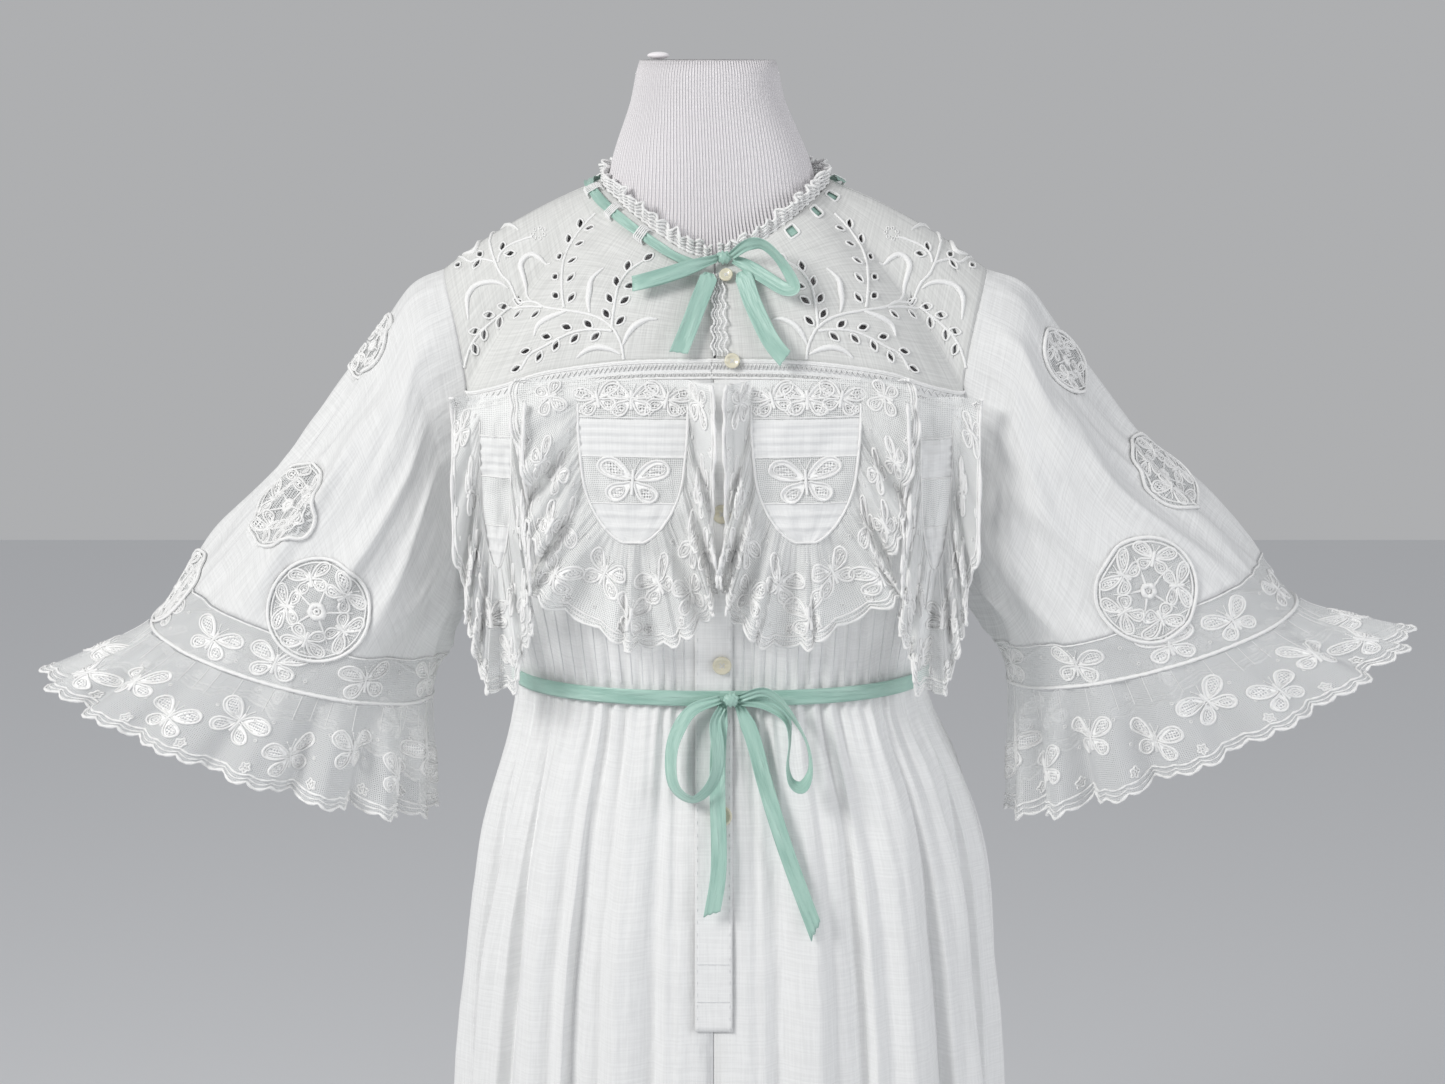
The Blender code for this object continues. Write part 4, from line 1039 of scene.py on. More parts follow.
cells_of("Thread", 640.0, 0.35, 0.21, feature="DISTANCE_TO_EDGE")
cells_of("Large holes", 430.0, 0.15, 0.40)


def netting(name, ground, worked, least):
    """Net whose ground lets light through, with dense and open work where it is painted. The ground is given
    a darker colour than the work, as painted shade of the see-through net.
    """
    look, tree, shader = fresh(name, ground, 0.9, Sheen_Weight=0.2, Specular_IOR_Level=0.2)
    net = use(tree, net_holes, cloth_place(tree))
    work = add(tree, "Attribute", attribute_name="Lace work").outputs["Fac"]
    from_half = maths(tree, "ABSOLUTE", maths(tree, "SUBTRACT", work, 0.5))
    dense = maths(tree, "SUBTRACT", 1.25, maths(tree, "MULTIPLY", from_half, 4.0), clamp=True)
    open_work = maths(tree, "MULTIPLY", maths(tree, "SUBTRACT", work, 0.7), 8.0, clamp=True)
    ground_cover = maths(tree, "MULTIPLY_ADD", net.outputs["Thread"], 1.0 - least, least)
    bars = maths(tree, "SUBTRACT", 1.0, net.outputs["Large holes"])
    cover = maths(tree, "MAXIMUM", ground_cover, dense)
    clear = maths(tree, "SUBTRACT", 1.0, open_work)
    closed = maths(tree, "MULTIPLY", cover, clear)
    cover = maths(tree, "MULTIPLY_ADD", bars, open_work, closed, clamp=True)
    shadow = add(tree, "LightPath").outputs["Is Shadow Ray"]
    glow = maths(tree, "MULTIPLY_ADD", shadow, -0.6, 1.0)
    tree.links.new(maths(tree, "MULTIPLY", cover, glow), shader.inputs["Alpha"])
    tint = shaded(tree, maths(tree, "MAXIMUM", dense, open_work), ground, worked)
    tree.links.new(tint, shader.inputs["Base Color"])
    return look


# The three nets are the same white cotton: each ground is darker than its work, and darker on the sleeves
# and bands than on the bertha, as painted shade
NET = netting("cotton bobbin net", (0.75, 0.76, 0.76), (0.98, 0.98, 0.975), 0.08)
BERTHA_NET = netting("net of the bertha", (0.86, 0.87, 0.865), (0.98, 0.98, 0.975), 0.26)
CLOSE_NET = netting("close net of the bands", (0.74, 0.75, 0.75), (0.98, 0.98, 0.975), 0.12)


# %% Corded thread, thick and matt, with the lumps of its stitches and painted shade in the dips between them
def corded(name, colour):
    look, tree, shader = fresh(name, colour, 0.75, Sheen_Weight=0.3, Specular_IOR_Level=0.25)
    lumps = noise_at(tree, object_place(tree), 900.0, 1.0)
    tree.links.new(bumped(tree, lumps, 0.0007, 0.8), shader.inputs["Normal"])
    # The colour is darker where the lumps sink: painted shade in the dips between stitches
    shade = shaded(tree, lumps, tuple(part * 0.86 for part in colour), colour)
    tree.links.new(shade, shader.inputs["Base Color"])
    return look


# The cord is whiter than the lawn of the same cotton: painted light that makes up for the shade on the sides
# of the thin round cords
CORD = corded("raised cotton cord", (0.99, 0.99, 0.985))
STITCH = corded("white sewing thread", (0.84, 0.85, 0.86))

# %% [markdown]
# Satin ribbon shines along its width, because its face is nearly all warp threads.

# %% Mint satin, with painted sheen and shade along its ripples
RIBBON_LOOK, tree, shader = fresh(
    "mint satin ribbon", (0.30, 0.53, 0.45), 0.38, Sheen_Weight=0.3, Anisotropic=0.4
)
place = cloth_place(tree)
ripples_with_painted_sheen = noise_at(tree, place, (22, 150, 1), 3.0)
lines = bumped(tree, noise_at(tree, place, (60, 2600, 1)), 0.0003, 0.5)
tree.links.new(bumped(tree, ripples_with_painted_sheen, 0.003, 1.0, lines), shader.inputs["Normal"])
# The ripples also set the colour: painted sheen on their crests and painted shade in their dips
painted_sheen_and_shade = maths(tree, "MULTIPLY_ADD", ripples_with_painted_sheen, 1.9, -0.4, clamp=True)
tree.links.new(shaded(tree, painted_sheen_and_shade, (0.26, 0.46, 0.39), (0.46, 0.67, 0.59)), shader.inputs["Base Color"])

# %% Shell of the buttons
SHELL, tree, shader = fresh(
    "shell of the buttons", (0.74, 0.70, 0.53), 0.28, Coat_Weight=0.5, Coat_Roughness=0.12
)
layers = noise_at(tree, object_place(tree), (160, 160, 420), 3.0)
shade = shaded(tree, layers, (0.62, 0.56, 0.38), (0.84, 0.82, 0.70))
tree.links.new(shade, shader.inputs["Base Color"])

# %% Ribbed jersey of the form: u counts the ribs round it, and its hollows have painted shade
KNIT_ROWS = 420  # to a metre of height
JERSEY, tree, shader = fresh("ribbed jersey", (0.76, 0.73, 0.78), 0.9, Sheen_Weight=0.4)
ribs = add(tree, "SeparateXYZ", {0: cloth_place(tree)})
round_rib = maths(tree, "SINE", maths(tree, "MULTIPLY", ribs.outputs["X"], 2 * math.pi))
stitches = maths(tree, "SINE", maths(tree, "MULTIPLY", ribs.outputs["Y"], 2 * math.pi * KNIT_ROWS))
knit = maths(tree, "MULTIPLY_ADD", stitches, 0.12, round_rib)
tree.links.new(bumped(tree, knit, 0.0008, 0.9), shader.inputs["Normal"])
# The rib tops are given a lighter colour than the hollows: painted light and shade of the ribs
lit_rib_tops = maths(tree, "MULTIPLY_ADD", round_rib, 0.5, 0.5)
tree.links.new(shaded(tree, lit_rib_tops, (0.88, 0.85, 0.88), (0.98, 0.95, 0.97)), shader.inputs["Base Color"])

# %% Chrome of the pole and painted iron of the base
CHROME, tree, shader = fresh("chromed pole", (0.62, 0.63, 0.64), 0.16, Metallic=1.0)
rubs = noise_at(tree, object_place(tree), (60, 60, 900))
tree.links.new(maths(tree, "MULTIPLY_ADD", rubs, 0.18, 0.08), shader.inputs["Roughness"])
IRON, tree, shader = fresh("black painted iron", (0.025, 0.025, 0.027), 0.4)
grain = noise_at(tree, object_place(tree), 700.0)
tree.links.new(bumped(tree, grain, 0.0004, 0.4), shader.inputs["Normal"])
tree.links.new(maths(tree, "MULTIPLY_ADD", grain, 0.25, 0.28), shader.inputs["Roughness"])
print("finishes made:", len(bpy.data.materials))

# %% [markdown]
# ## Body and skirt cut in one
#
# The front is two lengths of lawn and the back is one. They are tucked above the waist, gathered by
# the ribbon, and then fall in broad folds. A real one is cut flat and pulled in by its gathers, so the
# sheet's true width is measured along the folds.

# %% Front and back lengths of lawn
sheets = []
BODY_LEVELS = spread(BY_HEIGHT + HEM_Z, BY_HEIGHT + 0.78, 16)
BODY_LEVELS += spread(BY_HEIGHT + 0.79, BY_HEIGHT + 1.095, 31) + spread(2.0, 0.0, 14)


def declare(piece, node, flat, held, rests_on, shaped=False):
    """Note a cloth piece: its CAD solid, and the size it was cut to."""
    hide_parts(node)
    cloth = sum(face.area for face in piece.data.polygons)
    if flat[1] is None:
        flat = (flat[0], cloth / flat[0])
    share = cloth / (flat[0] * flat[1])
    area = min(cloth, flat[0] * flat[1]) if shaped else None
    sheets.append((piece, flat, held, rests_on, area))
    print(f"{piece.name}: flat {flat[0]:.3f} by {flat[1]:.3f} m, {share:.2f} of it cloth")


def dented(point, z):
    """A point with the crumples of worn cotton, deeper in the skirt than above it."""
    depth = 0.0035 if z < WAIST_Z - 0.02 else 0.0008
    out = Vector((point.x, point.y, 0.0)).normalized()
    return point + out * crumple(point.x, point.y, point.z, 0.035, depth)


def front_place(side):
    """Surface of one front."""

    def place(share, level):
        z = height_of(level)
        degrees = panel_angle(share, z, side)
        return dented(body_point(degrees, level, share, FRONT_FOLDS, 5), z)

    return place


def back_place(share, level):
    point = body_point(90.15 + 179.7 * share, level, share, BACK_FOLDS, 9)
    return dented(point, height_of(level))


near = [middle + 0.0018 * step for middle in PRESSED for step in range(-5, 6)]
front_columns = [-1.0] + sorted(spread(0.0, 0.998, 120) + near)
lengths = {}
for tag, columns, place, cut in (
    ("front_l", front_columns, front_place(1), FRONT_CUT),
    ("front_r", front_columns, front_place(-1), FRONT_CUT),
    ("back", spread(0.0, 1.0, 190), back_place, BACK_CUT),
):
    cloth = lay("lawn_" + tag, columns, BODY_LEVELS, place, LAWN, flip=tag == "front_r")
    lengths[tag] = cloth
    declare(cloth.piece, tag, cut, "gathered", ["jersey_torso"], True)

# %% Pintucks above the waist: narrow folds stitched down, every 9 mm
def pintucks(cloth, name, count, first, last):
    heights = spread(BY_HEIGHT + WAIST_Z + 0.009, BY_HEIGHT + 1.098, 7) + spread(1.8, 0.2, 8)
    for step in range(count):
        share = first + (last - first) * (step + 0.5) / count
        edge_cord(cloth, [cloth.place(share, level) for level in heights], 0.0007)
    finish_lace(cloth, name, STITCH)


pintucks(lengths["front_l"], "pintucks_l", 22, 0.01, 0.98)
pintucks(lengths["front_r"], "pintucks_r", 22, 0.01, 0.98)
pintucks(lengths["back"], "pintucks_back", 44, 0.01, 0.99)

# %% [markdown]
# ## Sheer yoke with cut leaves
#
# The yoke is the sheer ground of the embroidery. Its leaf eyelets are really cut out. The boards are
# first made flat, one unit to a degree and one to a share of the height, cut there with upright
# leaf-shaped cutters, and only then laid on the shoulders.

# %% Leaves of the yoke: angle, share of the height, and turn
LEAF_LENGTH = 0.0072
LEAVES = (
    (67.0, 0.667, 24.0), (60.4, 0.655, 144.0), (70.2, 0.747, 5.0), (63.2, 0.749, 152.0),
    (71.3, 0.820, 15.0), (65.2, 0.835, 153.0), (62.1, 0.562, 29.0), (56.1, 0.553, 119.0),
    (57.5, 0.451, 37.0), (51.7, 0.429, 118.0), (39.1, 0.334, 50.0), (34.1, 0.291, 130.0),
    (39.9, 0.441, 50.0), (34.8, 0.442, 130.0), (40.1, 0.564, 65.0), (34.8, 0.554, 150.0),
    (39.0, 0.690, 78.0), (33.0, 0.804, 112.0), (69.1, 0.419, -2.0), (72.2, 0.323, -68.0),
    (73.6, 0.225, -77.0), (74.0, 0.120, -88.0), (60.3, 0.356, -36.0), (66.0, 0.367, -56.0),
    (71.0, 0.284, -162.0), (72.3, 0.174, -173.0), (72.3, 0.100, 170.0), (43.3, 0.262, 38.0),
    (49.0, 0.248, 19.0), (53.5, 0.206, 22.0), (57.6, 0.150, 3.0), (58.1, 0.064, -10.0),
    (40.1, 0.179, -42.0), (45.6, 0.173, -49.0), (49.9, 0.141, -67.0), (53.2, 0.094, -61.0),
    (84.0, 0.240, -17.0), (82.3, 0.212, -129.0), (85.9, 0.095, -19.0), (81.5, 0.383, 13.0),
    (78.8, 0.417, 110.0),
)
# Slots of the neck ribbon: their angles, and the middle's distance under the neck seam
SLOTS = (44.0, 62.0, 77.0)
SLOT_DOWN = 0.0085

# %% Cutting the yoke flat and laying it on the shoulders
def top_verts(raised):
    return [part for part in raised["geom"] if isinstance(part, bmesh.types.BMVert)]


def leaf_cutters(side):
    """Upright leaf prisms over the flat board, sized in degrees and in shares."""
    bm = bmesh.new()
    for angle, share, turn in LEAVES:
        _, per_degree, per_share = steps_at(yoke_point, angle, share, 0.5, 0.01)
        wide = per_degree.length / 0.5
        high = per_share.length / 0.01
        made = bmesh.ops.create_circle(bm, cap_ends=True, segments=14, radius=1.0)["verts"]
        for vert in made:
            x = vert.co.x * LEAF_LENGTH * 0.57
            y = vert.co.y * LEAF_LENGTH * 0.33 * (1 - 0.45 * abs(vert.co.x))
            spin = math.radians(turn)
            dx = x * math.cos(spin) - y * math.sin(spin)
            dy = x * math.sin(spin) + y * math.cos(spin)
            vert.co = Vector((side * (angle + dx / wide), (share + dy / high) * 100, -5.0))
        raised = bmesh.ops.extrude_face_region(bm, geom=[made[0].link_faces[0]])
        bmesh.ops.translate(bm, verts=top_verts(raised), vec=(0.0, 0.0, 10.0))
    for angle in SLOTS if side > 0 else ():
        share = share_under_neck(angle, SLOT_DOWN)
        _, per_degree, per_share = steps_at(yoke_point, angle, share, 0.5, 0.01)
        wide = 0.0040 * 0.5 / per_degree.length
        high = 0.0043 * 0.01 / per_share.length
        middle = Matrix.Translation((angle, share * 100, 0.0))
        sized = middle @ Matrix.Diagonal((2 * wide, 200 * high, 10.0, 1.0))
        bmesh.ops.create_cube(bm, size=1.0, matrix=sized)
    bmesh.ops.recalc_face_normals(bm, faces=bm.faces)
    return bm


def cut_board(bm, cutters):
    """The board less its cutters, as a new bmesh."""
    base = linked("board", bm)
    knife = linked("cutters", cutters)
    step = base.modifiers.new("cut", "BOOLEAN")
    step.operation = "DIFFERENCE"
    step.solver = "EXACT"
    step.object = knife
    graph = bpy.context.evaluated_depsgraph_get()
    cut = bpy.data.meshes.new_from_object(base.evaluated_get(graph))
    bpy.data.objects.remove(base)
    bpy.data.objects.remove(knife)
    made = bmesh.new()
    made.from_mesh(cut)
    bpy.data.meshes.remove(cut)
    return made


def sheer_yoke(name, angles, shares, cutters):
    """Thin board over angles and shares, cut flat, then laid on yoke_point."""
    bm = bmesh.new()
    bmesh.ops.create_grid(bm, x_segments=len(angles) - 1, y_segments=len(shares) - 1, size=0.5)
    bm.verts.ensure_lookup_table()
    marks = [(angle, share) for share in shares for angle in angles]
    for vert, (angle, share) in zip(bm.verts, marks):
        vert.co = Vector((angle, share * 100, 0.0))
    raised = bmesh.ops.extrude_face_region(bm, geom=bm.faces[:])
    bmesh.ops.translate(bm, verts=top_verts(raised), vec=(0.0, 0.0, 1.0))
    bmesh.ops.recalc_face_normals(bm, faces=bm.faces)
    if cutters is not None:
        bm = cut_board(bm, cutters)
    chart = bm.loops.layers.uv.new("UVMap")
    for face in bm.faces:
        for loop in face.loops:
            spot = loop.vert.co
            loop[chart].uv = (spot.x * 0.0031, spot.y / 100 * 0.125)
    for vert in bm.verts:
        vert.co = yoke_point(vert.co.x, vert.co.y / 100, (vert.co.z - 1.0) * YOKE_WALL)
    bmesh.ops.recalc_face_normals(bm, faces=bm.faces)
    piece = add_piece(name, bm, SHEER)
    return SimpleNamespace(piece=piece, place=yoke_point, flip=1.0, lines=[], places=None)


YOKE_WALL = 0.0006
half_angles = spread(0.4, 90.0, 60)
yokes = {}
for name, angles, rows, cutters, cut in (
    ("front_l", half_angles, 30, leaf_cutters(1), YOKE_FRONT_CUT),
    ("front_r", [-angle for angle in half_angles], 30, leaf_cutters(-1), YOKE_FRONT_CUT),
    ("back", spread(90.2, 269.8, 90), 20, None, YOKE_BACK_CUT),
):
    yoke = sheer_yoke("sheer_yoke_" + name, angles, spread(0.0, 1.0, rows), cutters)
    yokes[name.split("_")[-1]] = yoke
    declare(yoke.piece, "yoke_" + name, cut, "laid", ["jersey_torso"], True)

# %% [markdown]
# The embroidery is worked over padding, so its stems and crescents stand up from the cloth. Stems are
# given by angle and share, as the eyelets are. Every eyelet has a raised buttonholed rim.

# %% Stems and crescents of one half of the yoke
STEMS = (
    ((30.6, 0.011), (31.8, 0.106), (34.0, 0.19), (36.1, 0.241), (40.4, 0.299), (45.7, 0.331), (51.2, 0.35),
     (58.3, 0.386), (64.3, 0.43), (73.2, 0.392), (77.1, 0.34), (81.2, 0.317), (86.2, 0.309)),
    ((52.3, 0.369), (55.8, 0.467), (59.8, 0.565), (63.8, 0.656), (66.3, 0.716), (68.4, 0.783), (69.5, 0.849),
     (69.5, 0.9)),
    ((36.1, 0.241), (36.7, 0.303), (37.4, 0.386), (38.2, 0.469), (38.7, 0.544), (37.8, 0.65), (34.4, 0.757)),
    ((59.4, 0.391), (64.6, 0.404), (70.2, 0.381), (71.7, 0.295), (72.8, 0.181), (73.2, 0.09), (72.7, 0.035),
     (72.2, 0.01)),
    ((35.8, 0.216), (39.8, 0.225), (43.5, 0.224), (46.8, 0.212), (50.1, 0.179), (52.9, 0.148), (55.7, 0.125),
     (56.5, 0.077), (56.7, 0.048)),
    ((79.4, 0.326), (81.0, 0.286), (83.1, 0.226), (84.6, 0.162), (94.4, 0.051), (93.1, -0.001)),
    ((79.1, 0.339), (80.3, 0.362), (80.5, 0.422), (79.3, 0.512), (78.3, 0.563)),
)
CRESCENTS = (
    ((76.1, 0.093), (77.8, 0.104), (78.8, 0.123), (79.0, 0.177), (77.6, 0.261), (75.7, 0.328), (73.7, 0.37)),
    ((62.5, 0.42), (69.6, 0.471), (72.6, 0.47), (75.0, 0.466), (75.6, 0.499), (74.8, 0.543), (72.8, 0.578),
     (71.1, 0.597), (68.7, 0.626)),
    ((44.1, 0.336), (46.1, 0.411), (47.1, 0.468), (48.5, 0.553), (46.9, 0.634)),
    ((57.1, 0.226), (57.6, 0.283), (56.1, 0.313), (53.3, 0.333), (51.1, 0.345)),
    ((31.6, 0.117), (30.7, 0.197), (29.0, 0.266), (25.6, 0.321), (22.1, 0.331)),
    ((43.5, 0.05), (41.7, 0.09), (38.8, 0.108), (35.0, 0.089), (31.7, 0.049)),
    ((89.1, 0.129), (86.2, 0.219), (95.6, 0.253)),
    ((85.6, 0.313), (95.3, 0.357), (82.9, 0.493)),
)
SLOT_RIM = ((-1, -1), (0, -1.1), (1, -1), (1.1, 0), (1, 1), (0, 1.1), (-1, 1), (-1.1, 0))
PADDING = 0.0003


# %% Embroidery, worked bars over the neck ribbon and rims of its slots
def worked(yoke, side):
    """Stems, crescents, eyelet rims and a ring of small loops on one half of the yoke."""
    for stem in STEMS:
        points = [yoke_point(side * a, s, PADDING) for a, s in rounded(stem, False, 4)]
        edge_cord(yoke, points, 0.0011, lumps=0.15)
    for crescent in CRESCENTS:
        path = rounded(crescent, False, 5)
        run = []
        for index, (a, s) in enumerate(path):
            swell = 0.0018 * math.sin(math.pi * index / (len(path) - 1)) * (1 + 0.12 * (index % 2))
            run.append((yoke_point(side * a, s, PADDING), 0.0006 + swell))
        yoke.lines.append((run, False))
    for angle, share, turn in LEAVES:
        laid, _ = on_flat(yoke, side * angle, share, 0.2, 0.002)
        rim = []
        for step in range(14):
            bend = 2 * math.pi * step / 14
            x = LEAF_LENGTH * 1000 * 0.68 * math.cos(bend)
            y = LEAF_LENGTH * 1000 * 0.43 * math.sin(bend) * (1 - 0.35 * abs(math.cos(bend)))
            rim.append((x, y))
        rim = turned(rim, 1.0, turn if side > 0 else 180 - turn)
        edge_cord(yoke, [laid(x, y, PADDING) for x, y in rim], 0.0008, closed=True)
    laid, _ = on_flat(yoke, side * 78.1, 0.6, 0.2, 0.002)
    for index in range(7):
        bend = 2 * math.pi * index / 7
        x, y = 0.0052 * math.cos(bend), 0.0052 * math.sin(bend)
        turns = numpy.arange(0, NEARLY_ROUND, 0.9)
        loop = [laid(x + 0.0018 * math.cos(a), y + 0.0013 * math.sin(a), PADDING) for a in turns]
        edge_cord(yoke, loop, 0.00045, closed=True)


def slot_rim(yoke, angle):
    """Buttonholed rim of a slot that the neck ribbon runs through."""
    per_degree = steps_at(yoke_point, angle, share_under_neck(angle, SLOT_DOWN), 1.0, 0.01)[1].length
    wide = 0.0047 / per_degree
    square = rounded(SLOT_RIM, True, 2)
    rim = [neck_ribbon_point(angle + wide * x, SLOT_DOWN + 0.0047 * y, PADDING) for x, y in square]
    edge_cord(yoke, rim, 0.0009, True, 0.1)


def neck_bar(yoke, angle, wide):
    """Worked bar over the neck ribbon: rows of thick stitches across it."""
    for row in (-1.0, -0.5, 0.0, 0.5, 1.0):
        stitch = []
        for step in range(9):
            bend = math.pi * step / 8
            down = SLOT_DOWN - 0.0070 * math.cos(bend)
            lift = 0.0006 + 0.0046 * min(1.0, 1.8 * math.sin(bend))
            stitch.append(neck_ribbon_point(angle + wide * row, down, lift))
        edge_cord(yoke, stitch, 0.0007, lumps=0.15)


worked(yokes["l"], 1)
worked(yokes["r"], -1)
for angle in SLOTS:
    slot_rim(yokes["l"], angle)
for angle in (-40.0, -60.0, -80.0):
    neck_bar(yokes["r"], angle, 2.0)
for step in range(8):
    neck_bar(yokes["back"], 100.0 + 22.0 * step, 1.4)
for tag, yoke in yokes.items():
    finish_lace(yoke, "embroidery_" + tag, CORD, 6)


# %% Corded band under the yoke
def band_place(angle, up):
    return seam(angle, -1).lerp(seam(angle, 1), 0.99 * up - 0.03)


def off_band(angle, up):
    """A point just in front of the band."""
    turn = math.radians(angle)
    return band_place(angle, up) + Vector((math.sin(turn), -math.cos(turn), 0.0)) * OFF_CLOTH


BAND_CORDS = ((0.97, 0.0014, 0.1), (0.88, 0.0007, 0.0), (0.30, 0.0006, 0.3), (0.03, 0.0012, 0.2))
for tag, angles in (
    ("front_l", spread(-1.0, ARM_FRONT - 0.1, 60)),
    ("front_r", [-angle for angle in spread(1.1, ARM_FRONT - 0.1, 60)]),
    ("back", spread(ARM_BACK + 0.3, 360.0 - ARM_BACK - 0.3, 110)),
):
    band = lay("net_band_" + tag, angles, spread(0.0, 1.0, 4), band_place, LAWN, flip=tag == "front_r")
    for up, radius, lumps in BAND_CORDS:
        edge_cord(band, [off_band(angle, up) for angle in angles], radius, lumps=lumps)
    teeth = spread(angles[0], angles[-1], round(band.wide / 0.0042) * 2)
    for low, rise, radius in ((0.52, 0.26, 0.0008), (0.10, 0.22, 0.0007)):
        zigzag = [off_band(angle, low + rise * (step % 2)) for step, angle in enumerate(teeth)]
        edge_cord(band, zigzag, radius)
    finish_lace(band, "cords_of_band_" + tag, CORD)
    declare(band.piece, "band_" + tag, (band.wide, BAND), "laid", ["jersey_torso"])

# %% Points just above a strip of lace
def lifted(cloth, u, v, du, dv):
    """A point just off the strip. Near the strip's end dv is negative, so as not to step past it."""
    here, step_u, step_v = steps_at(cloth.place, u, v, du, dv)
    return here + step_u.cross(step_v).normalized() * (math.copysign(OFF_CLOTH, dv) * cloth.flip)


def off_frill(cloth, t, r):
    return lifted(cloth, t, r, 0.001, -0.01 if r > 0.5 else 0.01)


def off_sleeve(cloth, turn, level):
    return lifted(cloth, turn, level, 0.4, -0.02 if level > 6.9 or 5.5 < level < 6.0 else 0.02)


def scalloped(place, count, whole, start, rows, depth):
    """Let a strip end in rounds: over its last rows v is drawn in between them."""

    def placed(u, v):
        round_edge = abs(math.sin(math.pi * count * u / whole))
        near = max(0.0, (v - start) / rows)
        return place(u, v - depth * near * (1 - round_edge))

    return placed


# %% [markdown]
# ## Bertha
#
# Tongues of lawn hang over the chest, each with a frill of gathered net round it. The frill is cut
# much longer than the tongue's edge, so it stands in waves at its scalloped edge.

# %% Tongues of lawn and net
TUCKS = (0.25, 0.30, 0.35, 0.40, 0.80, 0.88)
NET_ENDS, LOW_NET, LAWN_TIP = 0.225, 0.46, 0.745
TOP_OVER_MIDDLE = 1.06  # a tongue is widest at its top


def tucked(unit, across, down):
    """The tongue with its tucks across it and a soft puff."""
    tuck = 0.0
    for row in TUCKS:
        gap = (down - row) / 0.030
        if 0 <= gap < 1:
            tuck = 0.0014 * math.sin(math.pi * gap) ** 0.6
    puff = 0.0012 * math.sin(3.0 * across + 9 * down) * math.sin(math.pi * down)
    puff += 0.0014 * noise.noise(Vector((across * 2.5, down * 14, unit.mid * 50)))
    if unit.half < BROAD:
        puff += 0.0016 * math.sin(2.6 * across + 3 * down) * min(down * 4, 1.0)
    return tongue_point(unit, across, down, tuck + puff)


def tongue_cloth(unit, broad):
    """Lawn tongue with two stretches of net, its motifs, its seams and its corded rim."""
    name = "tongue_" + unit.name
    tongue = lay(
        name + "_cloth",
        spread(-1.0, 1.0, 48 if broad else 20),
        spread(0.0, 0.998, 80),
        lambda across, down: tucked(unit, across, down),
        (LAWN, BERTHA_NET),
        wall=0.0,
        flip=unit.side * unit.face > 0,
    )
    for part in tongue.piece.data.polygons:
        down = tongue.places[part.vertices[0]][1]
        part.material_index = 1 if down < NET_ENDS or LOW_NET < down < LAWN_TIP else 0
    motifs = [(0.0, 0.605, butterfly(1.25, 176.0))]
    for u, size in ((-0.62, 0.85), (0.02, 0.95), (0.64, 0.85)):
        motifs.append((u, 0.115, butterfly(size, 180 + 22 * u)))
    for u in (-0.93, -0.31, 0.34, 0.93):
        motifs += [(u, 0.085, flower(0.85, 30 * u)), (u * 0.96, 0.185, flower(0.6, 30))]
    for u, v, drawing in motifs if broad else ():
        stamp(tongue, on_flat(tongue, u, v, 0.02, 0.01), drawing, 0.0006)
    ahead = Vector((0.0, -unit.face, 0.0))
    for row in (NET_ENDS, LOW_NET, LAWN_TIP):
        seam_line = [tongue.place(across, row) + ahead * OFF_CLOTH for across in spread(-1.0, 1.0, 20)]
        edge_cord(tongue, seam_line, 0.0006, lumps=0.2)
    low = spread(0.15, 0.9, 24) + [1 - 0.1 * math.cos(step * math.pi / 24) for step in range(1, 12)]
    rim = [(-1.0, down) for down in low] + [(1.0, down) for down in low[::-1]]
    rim = [tongue.place(*spot) + ahead * 0.0006 for spot in rim]
    edge_cord(tongue, rim, 0.0011 if broad else 0.0006, lumps=0.08)
    finish_lace(tongue, name + "_cords", CORD)
    flat = (tongue.wide * TOP_OVER_MIDDLE, tongue.long)
    declare(tongue.piece, name, flat, "hung", ["jersey_torso"], True)


# %% Frills of gathered net round the tongues
def frill_net(unit, broad):
    """Gathered net with butterflies, flowers, dots, corded scallops and its gathering stitches."""
    name = "frill_" + unit.name
    scallops = 27 if broad else 21
    frill = lay(
        name + "_net",
        spread(0.0, 1.0, 230 if broad else 180),
        spread(0.0, 1.0, 30 if broad else 24),
        scalloped(lambda t, r: frill_point(unit, t, r), scallops, 1.0, 0.8, 0.2, 0.06),
        BERTHA_NET,
        wall=0.0,
        flip=unit.side * unit.face > 0,
    )
    count = 15 if broad else 12
    for step in range(count):
        t = (step + 0.5) / count
        high = step % 2
        size = 0.78 + 0.34 * max(0.0, 1 - abs(t - 0.5) * 3.2) if broad else 0.8
        sprinkle(
            frill, 0.02, 0.08,
            (t, 0.40 + 0.28 * high, butterfly(size, 180.0 + 16 * math.sin(step * 2.3))),
            (t + 0.03, 0.83, flower(0.7 * size, 25 * step)),
            (t, 0.78 - 0.60 * high, dot(1.1)),
        )
    fine = spread(0.0, 1.0, scallops * 6)
    for r, radius in ((1.0, 0.0014), (0.90, 0.0009), (0.95, 0.0006)):
        edge_cord(frill, [off_frill(frill, t, r) for t in fine], radius, lumps=0.35)
    for t in spread(0.06, 0.94, 9):
        edge_cord(frill, [off_frill(frill, t, r) for r in spread(0.03, 0.3, 4)], 0.0003)
    finish_lace(frill, name + "_cords", CORD)
    declare(frill.piece, name, (frill.wide, None), "gathered", ["jersey_torso"])


for unit in UNITS:
    tongue_cloth(unit, unit.half > BROAD)
    frill_net(unit, unit.half > BROAD)

# %% [markdown]
# ## Wide sleeves
#
# Each sleeve is a bell of lawn, then a band of close net, then gathered net that opens into waves.

